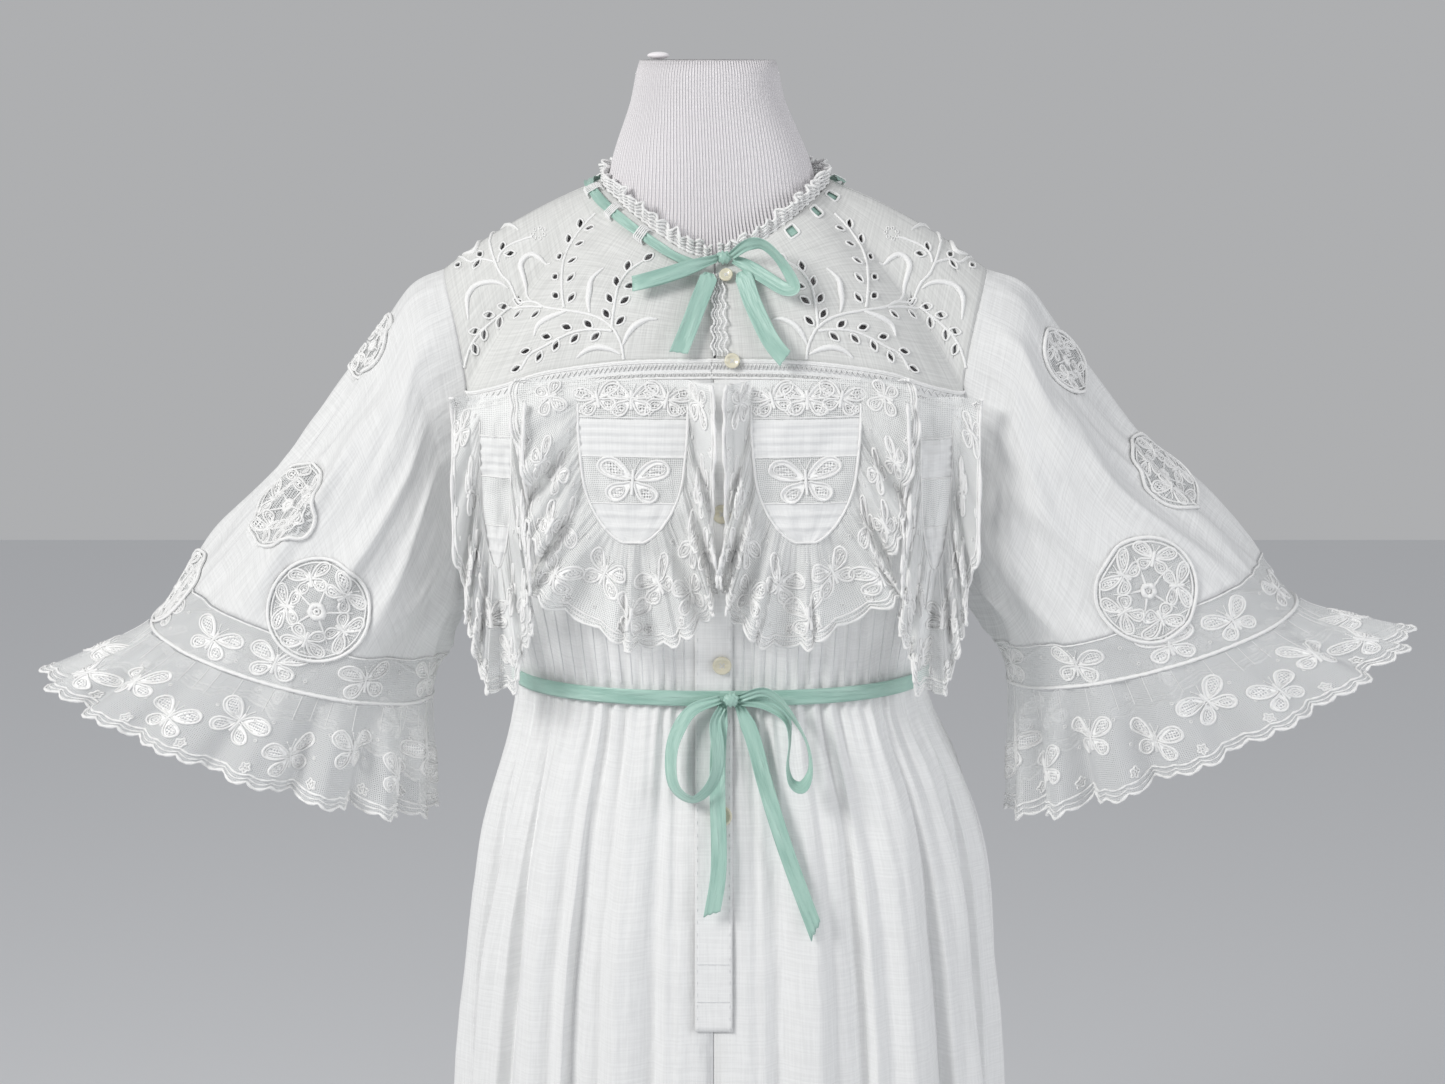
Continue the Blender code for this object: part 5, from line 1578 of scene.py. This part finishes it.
# %% Round medallions of net: their surface and their circle on the sleeve
def disc(name, table, side, station, angle, radius):
    """Polar grid of net on a circle of the sleeve, and how to draw on it."""
    sleeve = SimpleNamespace(
        place=lambda turn, level: sleeve_point(table, side, level, turn), flip=float(side)
    )
    laid, found = on_flat(sleeve, angle, station, 2.0, 0.05)

    def place(turn, out):
        bend = math.radians(turn)
        lift = 0.0011 + 0.0004 * math.sin(bend * 8) * out / radius
        return laid(out * math.cos(bend), out * math.sin(bend), lift)

    def chart(turn, out):
        bend = math.radians(turn)
        return out * math.cos(bend), out * math.sin(bend)

    made = lay(
        name + "_net",
        spread(0.0, 360.0, 96),
        spread(0.0, radius, 26),
        place,
        CLOSE_NET,
        wall=0.0,
        ring_round=True,
        flip=side < 0,
        chart=chart,
    )
    return made, (lambda x, y, lift=0.0: laid(x, y, lift + 0.0012), found)


def ring_cord(made, laid, radius, steps, thick, lumps=0.0):
    """A corded ring on the medallion."""
    points = []
    for step in range(steps):
        bend = 2 * math.pi * step / steps
        points.append(laid(radius * math.cos(bend), radius * math.sin(bend), 0.0005))
    edge_cord(made, points, thick, True, lumps)


def shifted(spot, dx, dy):
    """The same ground to draw on, from a middle moved over it."""
    laid, found = spot

    def laid_there(x, y, lift=0.0):
        return laid(x + dx, y + dy, lift)

    def found_there(at):
        x, y, close = found(at)
        return x - dx, y - dy, close

    return laid_there, found_there


circles = {1: [], -1: []}
for name, side, station, angle, radius in MEDALLIONS:
    table = SLEEVE_L if side > 0 else SLEEVE_R
    made, spot = disc(name, table, side, station, angle, radius)
    laid, found = spot
    if station < 4.9:  # one over the insertion band has no lawn to cut
        circles[side].append((found, radius - 0.0016))
    count = 5 if radius > 0.035 else 4
    for step in range(count):
        bend = 2 * math.pi * (step + 0.25) / count
        out = radius * 0.60
        there = shifted(spot, out * math.cos(bend), out * math.sin(bend))
        stamp(made, there, butterfly(radius / 0.042 * 0.80, math.degrees(bend) - 90))
        away = 2 * math.pi * (step + 0.75) / count
        spoke = []
        for index, share in enumerate((0.14, 0.3, 0.5, 0.66)):
            point = laid(share * radius * math.cos(away), share * radius * math.sin(away), 0.0004)
            spoke.append((point, 0.0011 - 0.0002 * index))
        made.lines.append((spoke, False))
    ring_cord(made, laid, radius * 0.12, 16, 0.0026, 0.2)
    ring_cord(made, laid, radius * 0.045, 10, 0.0012)
    ring_cord(made, laid, radius - 0.0008, 72, 0.0016, 0.08)
    ring_cord(made, laid, radius - 0.0042, 72, 0.0008, 0.12)
    finish_lace(made, "cords_of_" + name, CORD)
    rests_on = ["lawn_sleeve_" + name[-1]]
    declare(made.piece, name, (2 * radius, 2 * radius), "laid", rests_on, True)

# %% Holes of the sleeve under its medallions
def nearer_circle(vert, near, radius):
    """Move a vertex along one of its edges onto the circle, if it is the edge's nearer end."""
    x, y = near[vert]
    out = math.hypot(x, y)
    if out / radius <= 0.6 or abs(out - radius) >= 0.0034:
        return
    for edge in vert.link_edges:
        far = edge.other_vert(vert)
        if far not in near:
            continue
        fx, fy = near[far]
        reach = math.hypot(fx, fy)
        if (reach - radius) * (out - radius) < 0:
            share = (radius - out) / (reach - out)
            if share < 0.5:
                vert.co = vert.co.lerp(far.co, share)
                near[vert] = (x + (fx - x) * share, y + (fy - y) * share)
                return


def open_circles(cloth, holes):
    """Cut the round holes under the medallions, first moving the nearest vertices to the circle."""
    bm = bmesh.new()
    bm.from_mesh(cloth.piece.data)
    gone = []
    for found, radius in holes:
        near = {}
        for vert in bm.verts:
            x, y, close = found(vert.co)
            if close and abs(x) < 0.07 and abs(y) < 0.07:
                near[vert] = (x, y)
        for vert in near:
            nearer_circle(vert, near, radius)
        for face in bm.faces:
            if all(vert in near for vert in face.verts):
                inner = sum(math.hypot(*near[vert]) for vert in face.verts) / len(face.verts)
                if inner < radius - 0.0004:
                    gone.append(face)
    bmesh.ops.delete(bm, geom=list(set(gone)), context="FACES")
    bm.to_mesh(cloth.piece.data)
    bm.free()


# %% Sleeves, bands and gathered net
def band_net(tag, place, flip):
    """Band of close net with butterflies and dots between two cords."""
    band = lay(
        "net_sleeve_band_" + tag,
        spread(0.0, 360.0, 300),
        spread(5.0, 5.975, 18),
        place,
        CLOSE_NET,
        wall=0.0,
        ring_round=True,
        flip=flip,
    )
    for step in range(10):
        turn = 360.0 * (step + 0.5 + 0.12 * math.sin(step * 2.0)) / 10
        sprinkle(
            band, 4.0, 0.2,
            (turn, 5.50, butterfly(1.08, 180.0 + 10 * math.sin(step * 1.7))),
            (turn + 18.0, 5.30, dot(1.0)),
            (turn + 14.0, 5.72, dot(1.0)),
        )
    fine = spread(0.0, 358.5, 238)
    for level, radius, lumps in ((5.02, 0.0008, 0.2), (5.955, 0.0018, 0.15)):
        edge_cord(band, [off_sleeve(band, turn, level) for turn in fine], radius, True, lumps)
    finish_lace(band, "cords_of_sleeve_band_" + tag, CORD)
    rests_on = ["lawn_sleeve_" + tag]
    declare(band.piece, "sleeve_band_" + tag, (band.wide, SLEEVE_BAND), "hung", rests_on)


def sleeve_frill(tag, place, flip):
    """Gathered net with its motifs, corded scallops and gathering stitches."""
    scallops = 52
    frill = lay(
        "net_sleeve_frill_" + tag,
        spread(0.0, 360.0, 440),
        spread(6.008, 7.985, 38),
        scalloped(place, scallops, 360.0, 7.6, 0.385, 0.11),
        NET,
        wall=0.0,
        ring_round=True,
        flip=flip,
    )
    for step in range(18):
        turn = 360.0 * (step + 0.3) / 18
        low = step % 2
        sprinkle(
            frill, 4.0, 0.3,
            (turn, 6.85 + 0.38 * low, butterfly(1.15, 180.0 + 22 * math.sin(step * 2.1))),
            (turn + 9.0, 7.62, flower(0.85, 20 * step)),
            (turn + 10.5, 6.62, dot(1.0)),
            (turn + 8.0, 7.05 + 0.1 * low, dot(1.0)),
        )
    fine = spread(0.0, 359.5, scallops * 7)
    for level, radius in ((7.985, 0.0014), (7.78, 0.0010), (7.88, 0.0006)):
        edge_cord(frill, [off_sleeve(frill, turn, level) for turn in fine], radius, True, 0.35)
    for step in range(40):
        turn = 9.0 * step + 3.0 * math.sin(step * 1.3)
        edge_cord(frill, [off_sleeve(frill, turn, level) for level in spread(6.02, 6.5, 4)], 0.0003)
    finish_lace(frill, "cords_of_sleeve_frill_" + tag, CORD)
    rests_on = ["net_sleeve_band_" + tag]
    declare(frill.piece, "sleeve_frill_" + tag, (frill.wide, frill.long), "gathered", rests_on)


def sleeve_surface(table, side, gathered):
    """Surface of one sleeve, for lay."""
    return lambda turn, station: sleeve_point(table, side, station, turn, gathered)


for table, side, tag in ((SLEEVE_L, 1, "l"), (SLEEVE_R, -1, "r")):
    plain = sleeve_surface(table, side, False)
    sleeve = lay(
        "lawn_sleeve_" + tag,
        spread(0.0, 360.0, 180),
        spread(0.0, 4.985, 66),
        plain,
        SLEEVE_LAWN,
        ring_round=True,
        flip=side < 0,
    )
    open_circles(sleeve, circles[side])
    declare(sleeve.piece, "sleeve_" + tag, SLEEVE_CUT, "hung", ["jersey_torso"], True)
    band_net(tag, plain, side < 0)
    sleeve_frill(tag, sleeve_surface(table, side, True), side < 0)

# %% [markdown]
# ## Crinkled lace at the neck and the front opening
#
# A narrow lace is drawn up on a thread, so it crinkles in and out and its edge looks ragged.

# %% Neck edge and opening edge
def crinkled_neck(turn, up):
    degrees = 2.0 + turn * 356.0
    foot = yoke_point(degrees, 1.0)
    outward = Vector((foot.x, foot.y, 0.0)).normalized()
    run = turn * 2 * math.pi
    wave = 0.0030 * math.sin(run * 66 + 2.0 * math.sin(run * 7)) + 0.0012 * math.sin(run * 18)
    lean = -0.001 - 0.001 * up + wave * (0.25 + 0.75 * up)
    ragged = 0.0105 + 0.0020 * math.sin(run * 47 + 1.0) + 0.0010 * math.sin(run * 29)
    return foot + outward * lean + Vector((0.0, 0.0, 0.0006 + ragged * up))


neck_edge = lay(
    "neck_lace_cloth", spread(0.0, 1.0, 560), spread(0.0, 1.0, 8), crinkled_neck, CLOSE_NET, wall=0.0
)
fine = spread(0.0, 1.0, 400)
for up, radius in ((1.0, 0.0013), (0.76, 0.0008), (0.52, 0.0009), (0.28, 0.0006), (0.04, 0.0013)):
    edge_cord(neck_edge, [crinkled_neck(turn, up) for turn in fine], radius, False, 0.3)
finish_lace(neck_edge, "neck_lace_cords", CORD)
flat = (neck_edge.wide, NARROW_LACE)
declare(neck_edge.piece, "neck_lace", flat, "gathered", ["sheer_yoke_back"])


def crinkled_opening(share, across):
    x = 0.003 + 0.0046 * across + 0.0012 * math.sin(share * 40)
    angle = math.degrees(math.atan2(x, 0.105))
    wave = 0.0009 * math.sin(share * 90 + 2 * math.sin(share * 23) + across)
    return yoke_point(angle, share, 0.0024 + wave)


opening_edge = lay(
    "opening_lace_cloth",
    spread(0.02, 0.86, 90),
    spread(-1.0, 1.0, 8),
    crinkled_opening,
    CLOSE_NET,
    wall=0.0,
    flip=True,
)
for across, radius in ((-1.0, 0.0008), (-0.45, 0.0005), (0.2, 0.0006), (1.0, 0.0008)):
    off_lace = Vector((0, -OFF_CLOTH, 0))
    line = [crinkled_opening(share, across) + off_lace for share in spread(0.02, 0.86, 90)]
    edge_cord(opening_edge, line, radius, False, 0.35)
finish_lace(opening_edge, "opening_lace_cords", CORD)
flat = (opening_edge.wide, NARROW_LACE)
declare(opening_edge.piece, "opening_lace", flat, "gathered", ["sheer_yoke_front_l"])

# %% [markdown]
# ## Buttoned front
#
# The front edge is a folded strip, stitched down along both sides and closed by a stitched box.

# %% Placket and its stitches
PLACKET_LEVELS = spread(BY_HEIGHT + PLACKET_END_Z, BY_HEIGHT + 1.095, 70) + spread(2.0, 0.04, 30)
STITCHED_AT = 0.86  # share of the half width


def placket_place(across, level, lift=0.0):
    _, front, _, lean, _, _ = along(BODY, height_of(level))
    degrees = math.degrees(math.atan2(CENTRE_X + across * PLACKET / 2 - lean, front))
    return body_point(degrees, level, 0.0, FRONT_FOLDS, 5, LIFT + CLOTH + lift)


strip = lay("placket_cloth", spread(-1.0, 1.0, 12), PLACKET_LEVELS, placket_place, LAWN, wall=0.0008)
for across in (-STITCHED_AT, STITCHED_AT):
    for first, last in zip(PLACKET_LEVELS[::2], PLACKET_LEVELS[1::2]):
        if abs(last - first) < 1:
            stitch = [placket_place(across, level, 0.0002) for level in (first, (first + last) / 2)]
            edge_cord(strip, stitch, 0.00028)
for height in (0.786, 0.816):
    across_all = spread(-STITCHED_AT, STITCHED_AT, 8)
    line = [placket_place(across, BY_HEIGHT + height, 0.0003) for across in across_all]
    edge_cord(strip, line, 0.0004, False, 0.3)
finish_lace(strip, "placket_stitches", STITCH)
declare(strip.piece, "placket", (PLACKET, strip.long), "laid", ["lawn_front_l"])


# %% Shell buttons, turned with a raised rim and sewn through four holes
BUTTON_THICK = 0.0022
# Half section of a button: share of its radius, share of its thickness
BUTTON_SECTION = (
    (0.0, 0.55), (0.60, 0.55), (0.72, 0.95), (0.90, 1.05),
    (1.0, 0.75), (1.0, 0.25), (0.88, 0.0), (0.0, 0.0),
)


def button_seat(z, gap):
    """Place of a button with a step across and one up the cloth, and how far it stands off."""
    if z > 1.28:
        share = max((z - 1.290) / (1.362 - 1.290), -0.02)
        return (*steps_at(yoke_point, 6.2, share, 0.5, 0.01), 0.0006 + 0.0012 + gap)
    level = z + BY_HEIGHT if z < ARM_Z else 2 * (1.276 - z) / 0.176
    across = (BUTTON_X - CENTRE_X) / (PLACKET / 2)
    return (*steps_at(placket_place, across, level, 0.1, 0.004 if z < ARM_Z else -0.04), gap)


def shell_button(node, z, size, gap):
    here, step_u, step_v, rise = button_seat(z, gap)
    across = step_u.normalized()
    out = across.cross(step_v).normalized()
    facing = Matrix((across, out.cross(across), out)).transposed()
    bm = bmesh.new()
    section = []
    for share, up in BUTTON_SECTION:
        made = bmesh.ops.create_vert(bm, co=(share * size / 2, 0.0, up * BUTTON_THICK))
        section.append(made["vert"][0])
    bmesh.ops.spin(
        bm,
        geom=[bm.edges.new(pair) for pair in zip(section, section[1:])],
        cent=(0, 0, 0),
        axis=(0, 0, 1),
        dvec=(0, 0, 0),
        angle=2 * math.pi,
        steps=40,
        use_merge=True,
        use_duplicate=False,
    )
    bmesh.ops.remove_doubles(bm, verts=bm.verts, dist=1e-6)
    bmesh.ops.recalc_face_normals(bm, faces=bm.faces)
    seat = Matrix.Translation(here + out * rise) @ facing.to_4x4()
    bmesh.ops.transform(bm, matrix=seat, verts=bm.verts)
    carried("shell_" + node, node, "shell", bm, SHELL, IRON)

    def on_face(x, y, up):
        return here + facing @ Vector((x, y, rise + up))

    hole = size * 0.09
    paths = []
    for x, y in ((1, 1), (1, -1), (-1, 1), (-1, -1)):
        rim = []
        for step in range(8):
            bend = math.pi * step / 4
            dx = x * hole + size * 0.045 * math.cos(bend)
            dy = y * hole + size * 0.045 * math.sin(bend)
            rim.append((on_face(dx, dy, 0.00125), 0.00018))
        paths.append((rim, True))
    for slant in (hole, -hole):
        crossing = [on_face(hole, slant, 0.0015), on_face(-hole, -slant, 0.0015)]
        paths.append(([(point, 0.0003) for point in crossing], False))
    threads("thread_of_" + node, paths, STITCH)


for button in BUTTONS:
    shell_button(*button)

# %% [markdown]
# ## Ribbons
#
# Satin ribbon runs round the waist and under the neck, and each ends in a bow.

# %% Rows of the bows
# x, distance in front of the cloth, z, and lean of the width: 0 is edge-on, 90 faces the front
BOWS = {
    "waist_loop_r": (
        (0.0044, 0.0118, 1.0205, 74.0), (-0.018, 0.015, 1.0120, 62.0), (-0.031, 0.018, 0.9930, 55.0),
        (-0.0345, 0.020, 0.9730, 50.0), (-0.031, 0.021, 0.9560, 48.0), (-0.018, 0.021, 0.9480, 40.0),
        (-0.006, 0.020, 0.9550, 45.0), (0.0010, 0.018, 0.9680, 50.0), (0.0020, 0.016, 0.9850, 55.0),
        (0.0000, 0.0125, 1.0030, 62.0), (0.0054, 0.0093, 1.0139, 74.0),
    ),
    "waist_loop_l": (
        (0.0186, 0.0118, 1.0215, 74.0), (0.0380, 0.018, 1.0280, 58.0), (0.0520, 0.022, 1.0200, 40.0),
        (0.0650, 0.026, 1.0040, 22.0), (0.0740, 0.027, 0.9860, 14.0), (0.0755, 0.027, 0.9680, 16.0),
        (0.0690, 0.027, 0.9570, 34.0), (0.0600, 0.026, 0.9600, 18.0), (0.0565, 0.024, 0.9720, 10.0),
        (0.0585, 0.018, 0.9900, 12.0), (0.0560, 0.015, 1.0060, 30.0), (0.0400, 0.0110, 1.0160, 60.0),
        (0.0202, 0.0095, 1.0185, 74.0),
    ),
    "waist_tail_r": (
        (0.0062, 0.0049, 1.0150, 90.0), (0.0030, 0.005, 0.9900, 90.0), (0.0020, 0.005, 0.9530, 90.0),
        (0.0030, 0.006, 0.8940, 90.0), (-0.0030, 0.006, 0.8550, 90.0),
    ),
    "waist_tail_l": (
        (0.0190, 0.0047, 1.0150, 90.0), (0.0300, 0.005, 0.9900, 90.0), (0.0400, 0.005, 0.9550, 90.0),
        (0.0570, 0.006, 0.9040, 90.0), (0.0820, 0.006, 0.8380, 90.0),
    ),
    "neck_loop_r": (
        (0.0018, 0.0002, 1.3660, 80.0), (-0.0170, 0.0110, 1.3610, 80.0), (-0.0380, 0.0150, 1.3550, 80.0),
        (-0.0570, 0.0170, 1.3500, 80.0), (-0.0640, 0.0140, 1.3480, 80.0), (-0.0570, 0.0105, 1.3490, 80.0),
        (-0.0380, 0.0085, 1.3535, 80.0), (-0.0150, 0.0052, 1.3610, 80.0), (-0.0002, -0.0020, 1.3655, 80.0),
    ),
    "neck_loop_l": (
        (0.0122, 0.0002, 1.3680, 80.0), (0.0250, 0.014, 1.3780, 64.0), (0.0370, 0.018, 1.3790, 46.0),
        (0.0490, 0.020, 1.3690, 40.0), (0.0590, 0.020, 1.3540, 46.0), (0.0620, 0.018, 1.3450, 44.0),
        (0.0540, 0.014, 1.3440, 58.0), (0.0410, 0.009, 1.3510, 66.0), (0.0250, 0.0030, 1.3605, 76.0),
        (0.0144, -0.0022, 1.3650, 80.0),
    ),
    "neck_tail_r": (
        (-0.0042, 0.0050, 1.3553, 90.0), (-0.0060, 0.0066, 1.3490, 90.0), (-0.0120, 0.010, 1.3350, 90.0),
        (-0.0200, 0.010, 1.3150, 90.0), (-0.0290, 0.010, 1.2940, 90.0),
    ),
    "neck_tail_l": (
        (0.0202, 0.0050, 1.3563, 90.0), (0.0238, 0.0070, 1.3490, 90.0), (0.0300, 0.010, 1.3320, 90.0),
        (0.0430, 0.010, 1.3060, 90.0), (0.0560, 0.010, 1.2900, 90.0),
    ),
}


# %% Loops and tails
def skirt_front(x, z):
    return -(front_y(x, z)[0] + sum(along(BODY, z)[4:]))


def yoke_front(x, z):
    return -0.096 - 0.42 * max(1.360 - z, 0.0)


def bow_strip(node, rows, base, width):
    """A loop or tail along rows, pinched at the knot, creased along its run and cut askew."""
    keyed = [(float(row), *values) for row, values in enumerate(rows)]
    count = len(keyed) - 1
    tail = "tail" in node
    level = node == "neck_loop_r"
    nearer = 0.75 if "waist" in node else 1.0

    def place(run, across):
        if tail:
            run = min(run * (0.975 + 0.02 * across + 0.003 * math.sin(across * 9)), 1.0)
        x, out, z, lean = along(keyed, run * count)
        out *= nearer
        before = along(keyed, max(run * count - 0.05, 0.0))
        after = along(keyed, min(run * count + 0.05, count))
        way = Vector((after[0] - before[0], 0.0, after[2] - before[2])).normalized()
        normal = Vector((0.0, 0.0, 1.0)) if level else Vector((way.z, 0.0, -way.x))
        tilt = math.radians(lean)
        width_way = Vector((0.0, math.cos(tilt), 0.0)) + normal * math.sin(tilt)
        middle = Vector((x, base(x, z) - out, z))
        held = min(run if tail else min(run, 1 - run), 0.16) / 0.16
        face = width_way.cross(Vector((way.x, 0.0, way.z))).normalized()
        crease = (1 - held) * 0.0011 * math.cos(across * 6) + 0.0004 * math.sin(run * 11 + across)
        full = across * width / 2 * (0.55 + 0.45 * held)
        return middle + width_way * full + face * (crease + 0.0007 * (across * across - 0.4))

    name = "ribbon_" + node
    strip = lay(name, spread(0.0, 1.0, 70), spread(-1.0, 1.0, 12), place, RIBBON_LOOK, wall=0.0004)
    declare(strip.piece, node, (width, strip.wide), "draped", ["lawn_front_l"])


for node, rows in BOWS.items():
    if "waist" in node:
        bow_strip(node, rows, skirt_front, RIBBON_WIDTH)
    else:
        bow_strip(node, rows, yoke_front, 0.014 if "tail" in node else 0.012)


# %% Ribbon round the waist, along the neck and under its worked bars
def waist_run(angle, up):
    return ring(angle, WAIST_Z, 0.0060) + Vector((0.0, 0.0, up * RIBBON_WIDTH / 2))


def neck_run(angle, down):
    wave = 0.0007 * math.sin(down * 1500 + 1.5 * math.sin(angle * 0.31))
    return neck_ribbon_point(angle, down, 0.0030 + RIBBON + wave)


def neck_run_under(angle, down):
    return neck_ribbon_point(angle, down, -0.0018)


def ribbon_run(name, node, place, length, rows, width, rests_on):
    """Ribbon on place(angle, row); the one round the waist closes on itself."""
    closed = name == "ribbon_waist"
    strip = lay(name, length, rows, place, RIBBON_LOOK, wall=0.0005, ring_round=closed)
    declare(strip.piece, node, (width, strip.wide), "laid", [rests_on])


WAIST_ROWS = spread(-1.0, 1.0, 6)
NECK_ROWS = (0.0128, 0.0112, 0.0096, 0.0080, 0.0064, 0.0050)  # metres under the neck seam
UNDER_ROWS = (0.0135, 0.011, 0.0085, 0.006, 0.0035)
turns = spread(0.0, 360.0, 240)
ribbon_run("ribbon_waist", "waist_ribbon", waist_run, turns, WAIST_ROWS, RIBBON_WIDTH, "lawn_front_l")
turns, width = spread(90.2, 352.5, 200), NECK_RIBBON_WIDTH
ribbon_run("ribbon_neck", "neck_ribbon", neck_run, turns, NECK_ROWS, width, "sheer_yoke_back")
turns, name = spread(6.0, 80.5, 80), "ribbon_neck_under"
ribbon_run(name, "neck_ribbon_under", neck_run_under, turns, UNDER_ROWS, width, "jersey_torso")


# %% Knots
def knot(name, node, middle, size):
    middle = Vector(middle)
    bm = bmesh.new()
    sized = Matrix.Translation(middle) @ Matrix.Diagonal((*size, 1.0))
    bmesh.ops.create_uvsphere(bm, u_segments=32, v_segments=20, radius=0.5, matrix=sized)
    for vert in bm.verts:
        off = vert.co - middle
        fold = 0.16 * math.sin(off.x * 1900 + off.z * 700) * math.cos(off.z * 1300)
        vert.co = middle + off * (1 + fold)
    carried(name, node, "ribbon", bm, RIBBON_LOOK)


knot("knot_waist", "waist_knot", (0.0130, -0.1358, 1.0200), (0.012, 0.009, 0.011))
knot("knot_neck", "neck_knot", (0.0070, -0.0932, 1.3665), (0.013, 0.008, 0.010))

# %% [markdown]
# ## Dress form
#
# The form is foam under ribbed jersey, on a pole and a round base.

# %% Ribbed torso
RIBS = 144
FORM_HEIGHTS = spread(FORM[0][0], FORM[-1][0], 70)
FORM_SQUARE = 2.2  # as SQUARE, for the form


def form_point(turn, z):
    """Point of the form at an angle from the front and a height; its neck leans a little to -X."""
    half, front, back = along(FORM, z)
    angle = math.radians(turn)
    ahead = math.cos(angle)
    deep = front if ahead > 0 else back
    reach = abs(math.sin(angle) / half) ** FORM_SQUARE + abs(ahead / deep) ** FORM_SQUARE
    radius = reach ** (-1 / FORM_SQUARE)
    lean = -0.003 * min(max((z - 1.36) / 0.06, 0.0), 1.0)
    lean -= 0.003 * min(max((z - 1.43) / 0.06, 0.0), 1.0)
    return Vector((radius * math.sin(angle) + lean, -radius * ahead, z))


def turn_of(spot):
    return math.degrees(math.atan2(spot.x, -spot.y))


def form_height(spot):
    """Height of the form for a point of the plain cylinder from -1 to 1."""
    return FORM_HEIGHTS[round((spot.z + 1) / 2 * (len(FORM_HEIGHTS) - 1))]


bm = bmesh.new()
bmesh.ops.create_cone(bm, cap_ends=True, segments=96, radius1=1.0, radius2=1.0, depth=2.0)
upright = [edge for edge in bm.edges if abs(edge.verts[0].co.z - edge.verts[1].co.z) > 1]
bmesh.ops.subdivide_edges(bm, edges=upright, cuts=len(FORM_HEIGHTS) - 2, use_grid_fill=True)
rib_map = bm.loops.layers.uv.new("UVMap")
for face in bm.faces:
    centre = turn_of(face.calc_center_median())
    for loop in face.loops:
        turn = turn_of(loop.vert.co)
        while turn - centre > 180:
            turn -= 360
        while turn - centre < -180:
            turn += 360
        loop[rib_map].uv = (turn / 360 * RIBS, form_height(loop.vert.co))
for vert in bm.verts:
    vert.co = form_point(turn_of(vert.co), form_height(vert.co))
torso = carried("jersey_torso", "form_torso", "jersey", bm, JERSEY)

# %% Pole, base and knob
POLE_RADIUS = 0.0125
BASE_RADIUS = 0.170
BASE_HEIGHT = 0.020
GAP = 0.0003


def turned_piece(foot, height, low_radius, high_radius, segments):
    """A round upright of a height on a foot at that z."""
    bm = bmesh.new()
    bmesh.ops.create_cone(
        bm,
        cap_ends=True,
        segments=segments,
        radius1=low_radius,
        radius2=high_radius,
        depth=height,
        matrix=Matrix.Translation((0.0, 0.0, foot + height / 2)),
    )
    return bm


pole_length = FORM[0][0] - BASE_HEIGHT - 2 * GAP
bm = turned_piece(BASE_HEIGHT + GAP, pole_length, POLE_RADIUS, POLE_RADIUS, 48)
carried("chrome_pole", "form_pole", "pole", bm, CHROME)
bm = turned_piece(0.0, BASE_HEIGHT, BASE_RADIUS, BASE_RADIUS - 0.006, 128)
rims = [edge for edge in bm.edges if len(edge.link_faces) == 2 and edge.calc_face_angle() > 0.5]
bmesh.ops.bevel(bm, geom=rims, offset=0.003, segments=4, profile=0.5, affect="EDGES", material=-1)
carried("iron_base", "form_base", "base", bm, IRON)
bm = bmesh.new()
place = Matrix.Translation((-0.046, 0.010, 1.5215)) @ Matrix.Diagonal((0.018, 0.012, 0.006, 1.0))
bmesh.ops.create_uvsphere(bm, u_segments=32, v_segments=20, radius=0.5, matrix=place)
carried("jersey_knob", "form_knob", "jersey", bm, JERSEY)

# %% [markdown]
# ## Soft pieces and their flat cuts
#
# Every cloth piece is declared with the size it was cut to.

for piece, flat, held, rests_on, area in sheets:
    trims = trims_of.get(piece.name, [])
    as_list(rests_on)
    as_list(trims)
print("cloth pieces declared:", len(sheets))

# %% [markdown]
# ## Set, light and camera
#
# A pale floor and a pale wall stand for the studio. A large soft light from the upper left and a weak
# one from the right give the folds their shape.

# %% Floor
floor_look, tree, shader = fresh("pale studio floor", (0.80, 0.81, 0.83), 0.9)
bm = bmesh.new()
bmesh.ops.create_grid(bm, x_segments=1, y_segments=1, size=6.0)
floor = linked("floor", bm)
floor.data.materials.append(floor_look)
floor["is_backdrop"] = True

# %% Light
world = bpy.data.worlds.new("pale studio")
bpy.context.scene.world = world
world.use_nodes = True
background = world.node_tree.nodes["Background"]
background.inputs["Color"].default_value = (0.92, 0.93, 0.95, 1.0)
background.inputs["Strength"].default_value = 0.46


def soft_light(name, place, aim, size, watts, colour):
    lamp = bpy.data.lights.new(name, "AREA")
    lamp.size = size
    lamp.energy = watts
    lamp.color = colour
    made = bpy.data.objects.new(name, lamp)
    made.location = place
    made.rotation_euler = (Vector(aim) - Vector(place)).to_track_quat("-Z", "Y").to_euler()
    bpy.context.collection.objects.link(made)
    made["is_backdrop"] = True


soft_light("large_soft_light", (-2.0, -1.8, 2.7), (0.0, 0.0, 1.15), 1.0, 58.0, (1.0, 0.99, 0.97))
soft_light("weak_fill", (2.2, -1.4, 1.6), (0.0, 0.0, 1.1), 1.4, 19.0, (0.97, 0.98, 1.0))

# %% Camera of the photo
SENSOR = 36.0
FOCAL_PIXELS = 2744.0
PHOTO_WIDTH = 1445.0
TILT_DOWN = 10.65
lens = bpy.data.cameras.new("photo_camera")
lens.sensor_width = SENSOR
lens.lens = FOCAL_PIXELS / PHOTO_WIDTH * SENSOR
camera = bpy.data.objects.new("photo_camera", lens)
camera.location = (0.006, -2.25, 1.545)
camera.rotation_euler = (math.radians(90 - TILT_DOWN), 0.0, 0.0)
bpy.context.collection.objects.link(camera)
bpy.context.scene.camera = camera
bpy.context.scene.view_settings.view_transform = "Standard"

# %% Boxes of the scene and of the frame
new_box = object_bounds()
lines = {
    "cad": [[round(value, 5) for value in corner] for corner in cad_box],
    "scene": [[round(value, 5) for value in corner] for corner in new_box],
}
print("scene box", [[round(value, 3) for value in corner] for corner in new_box])
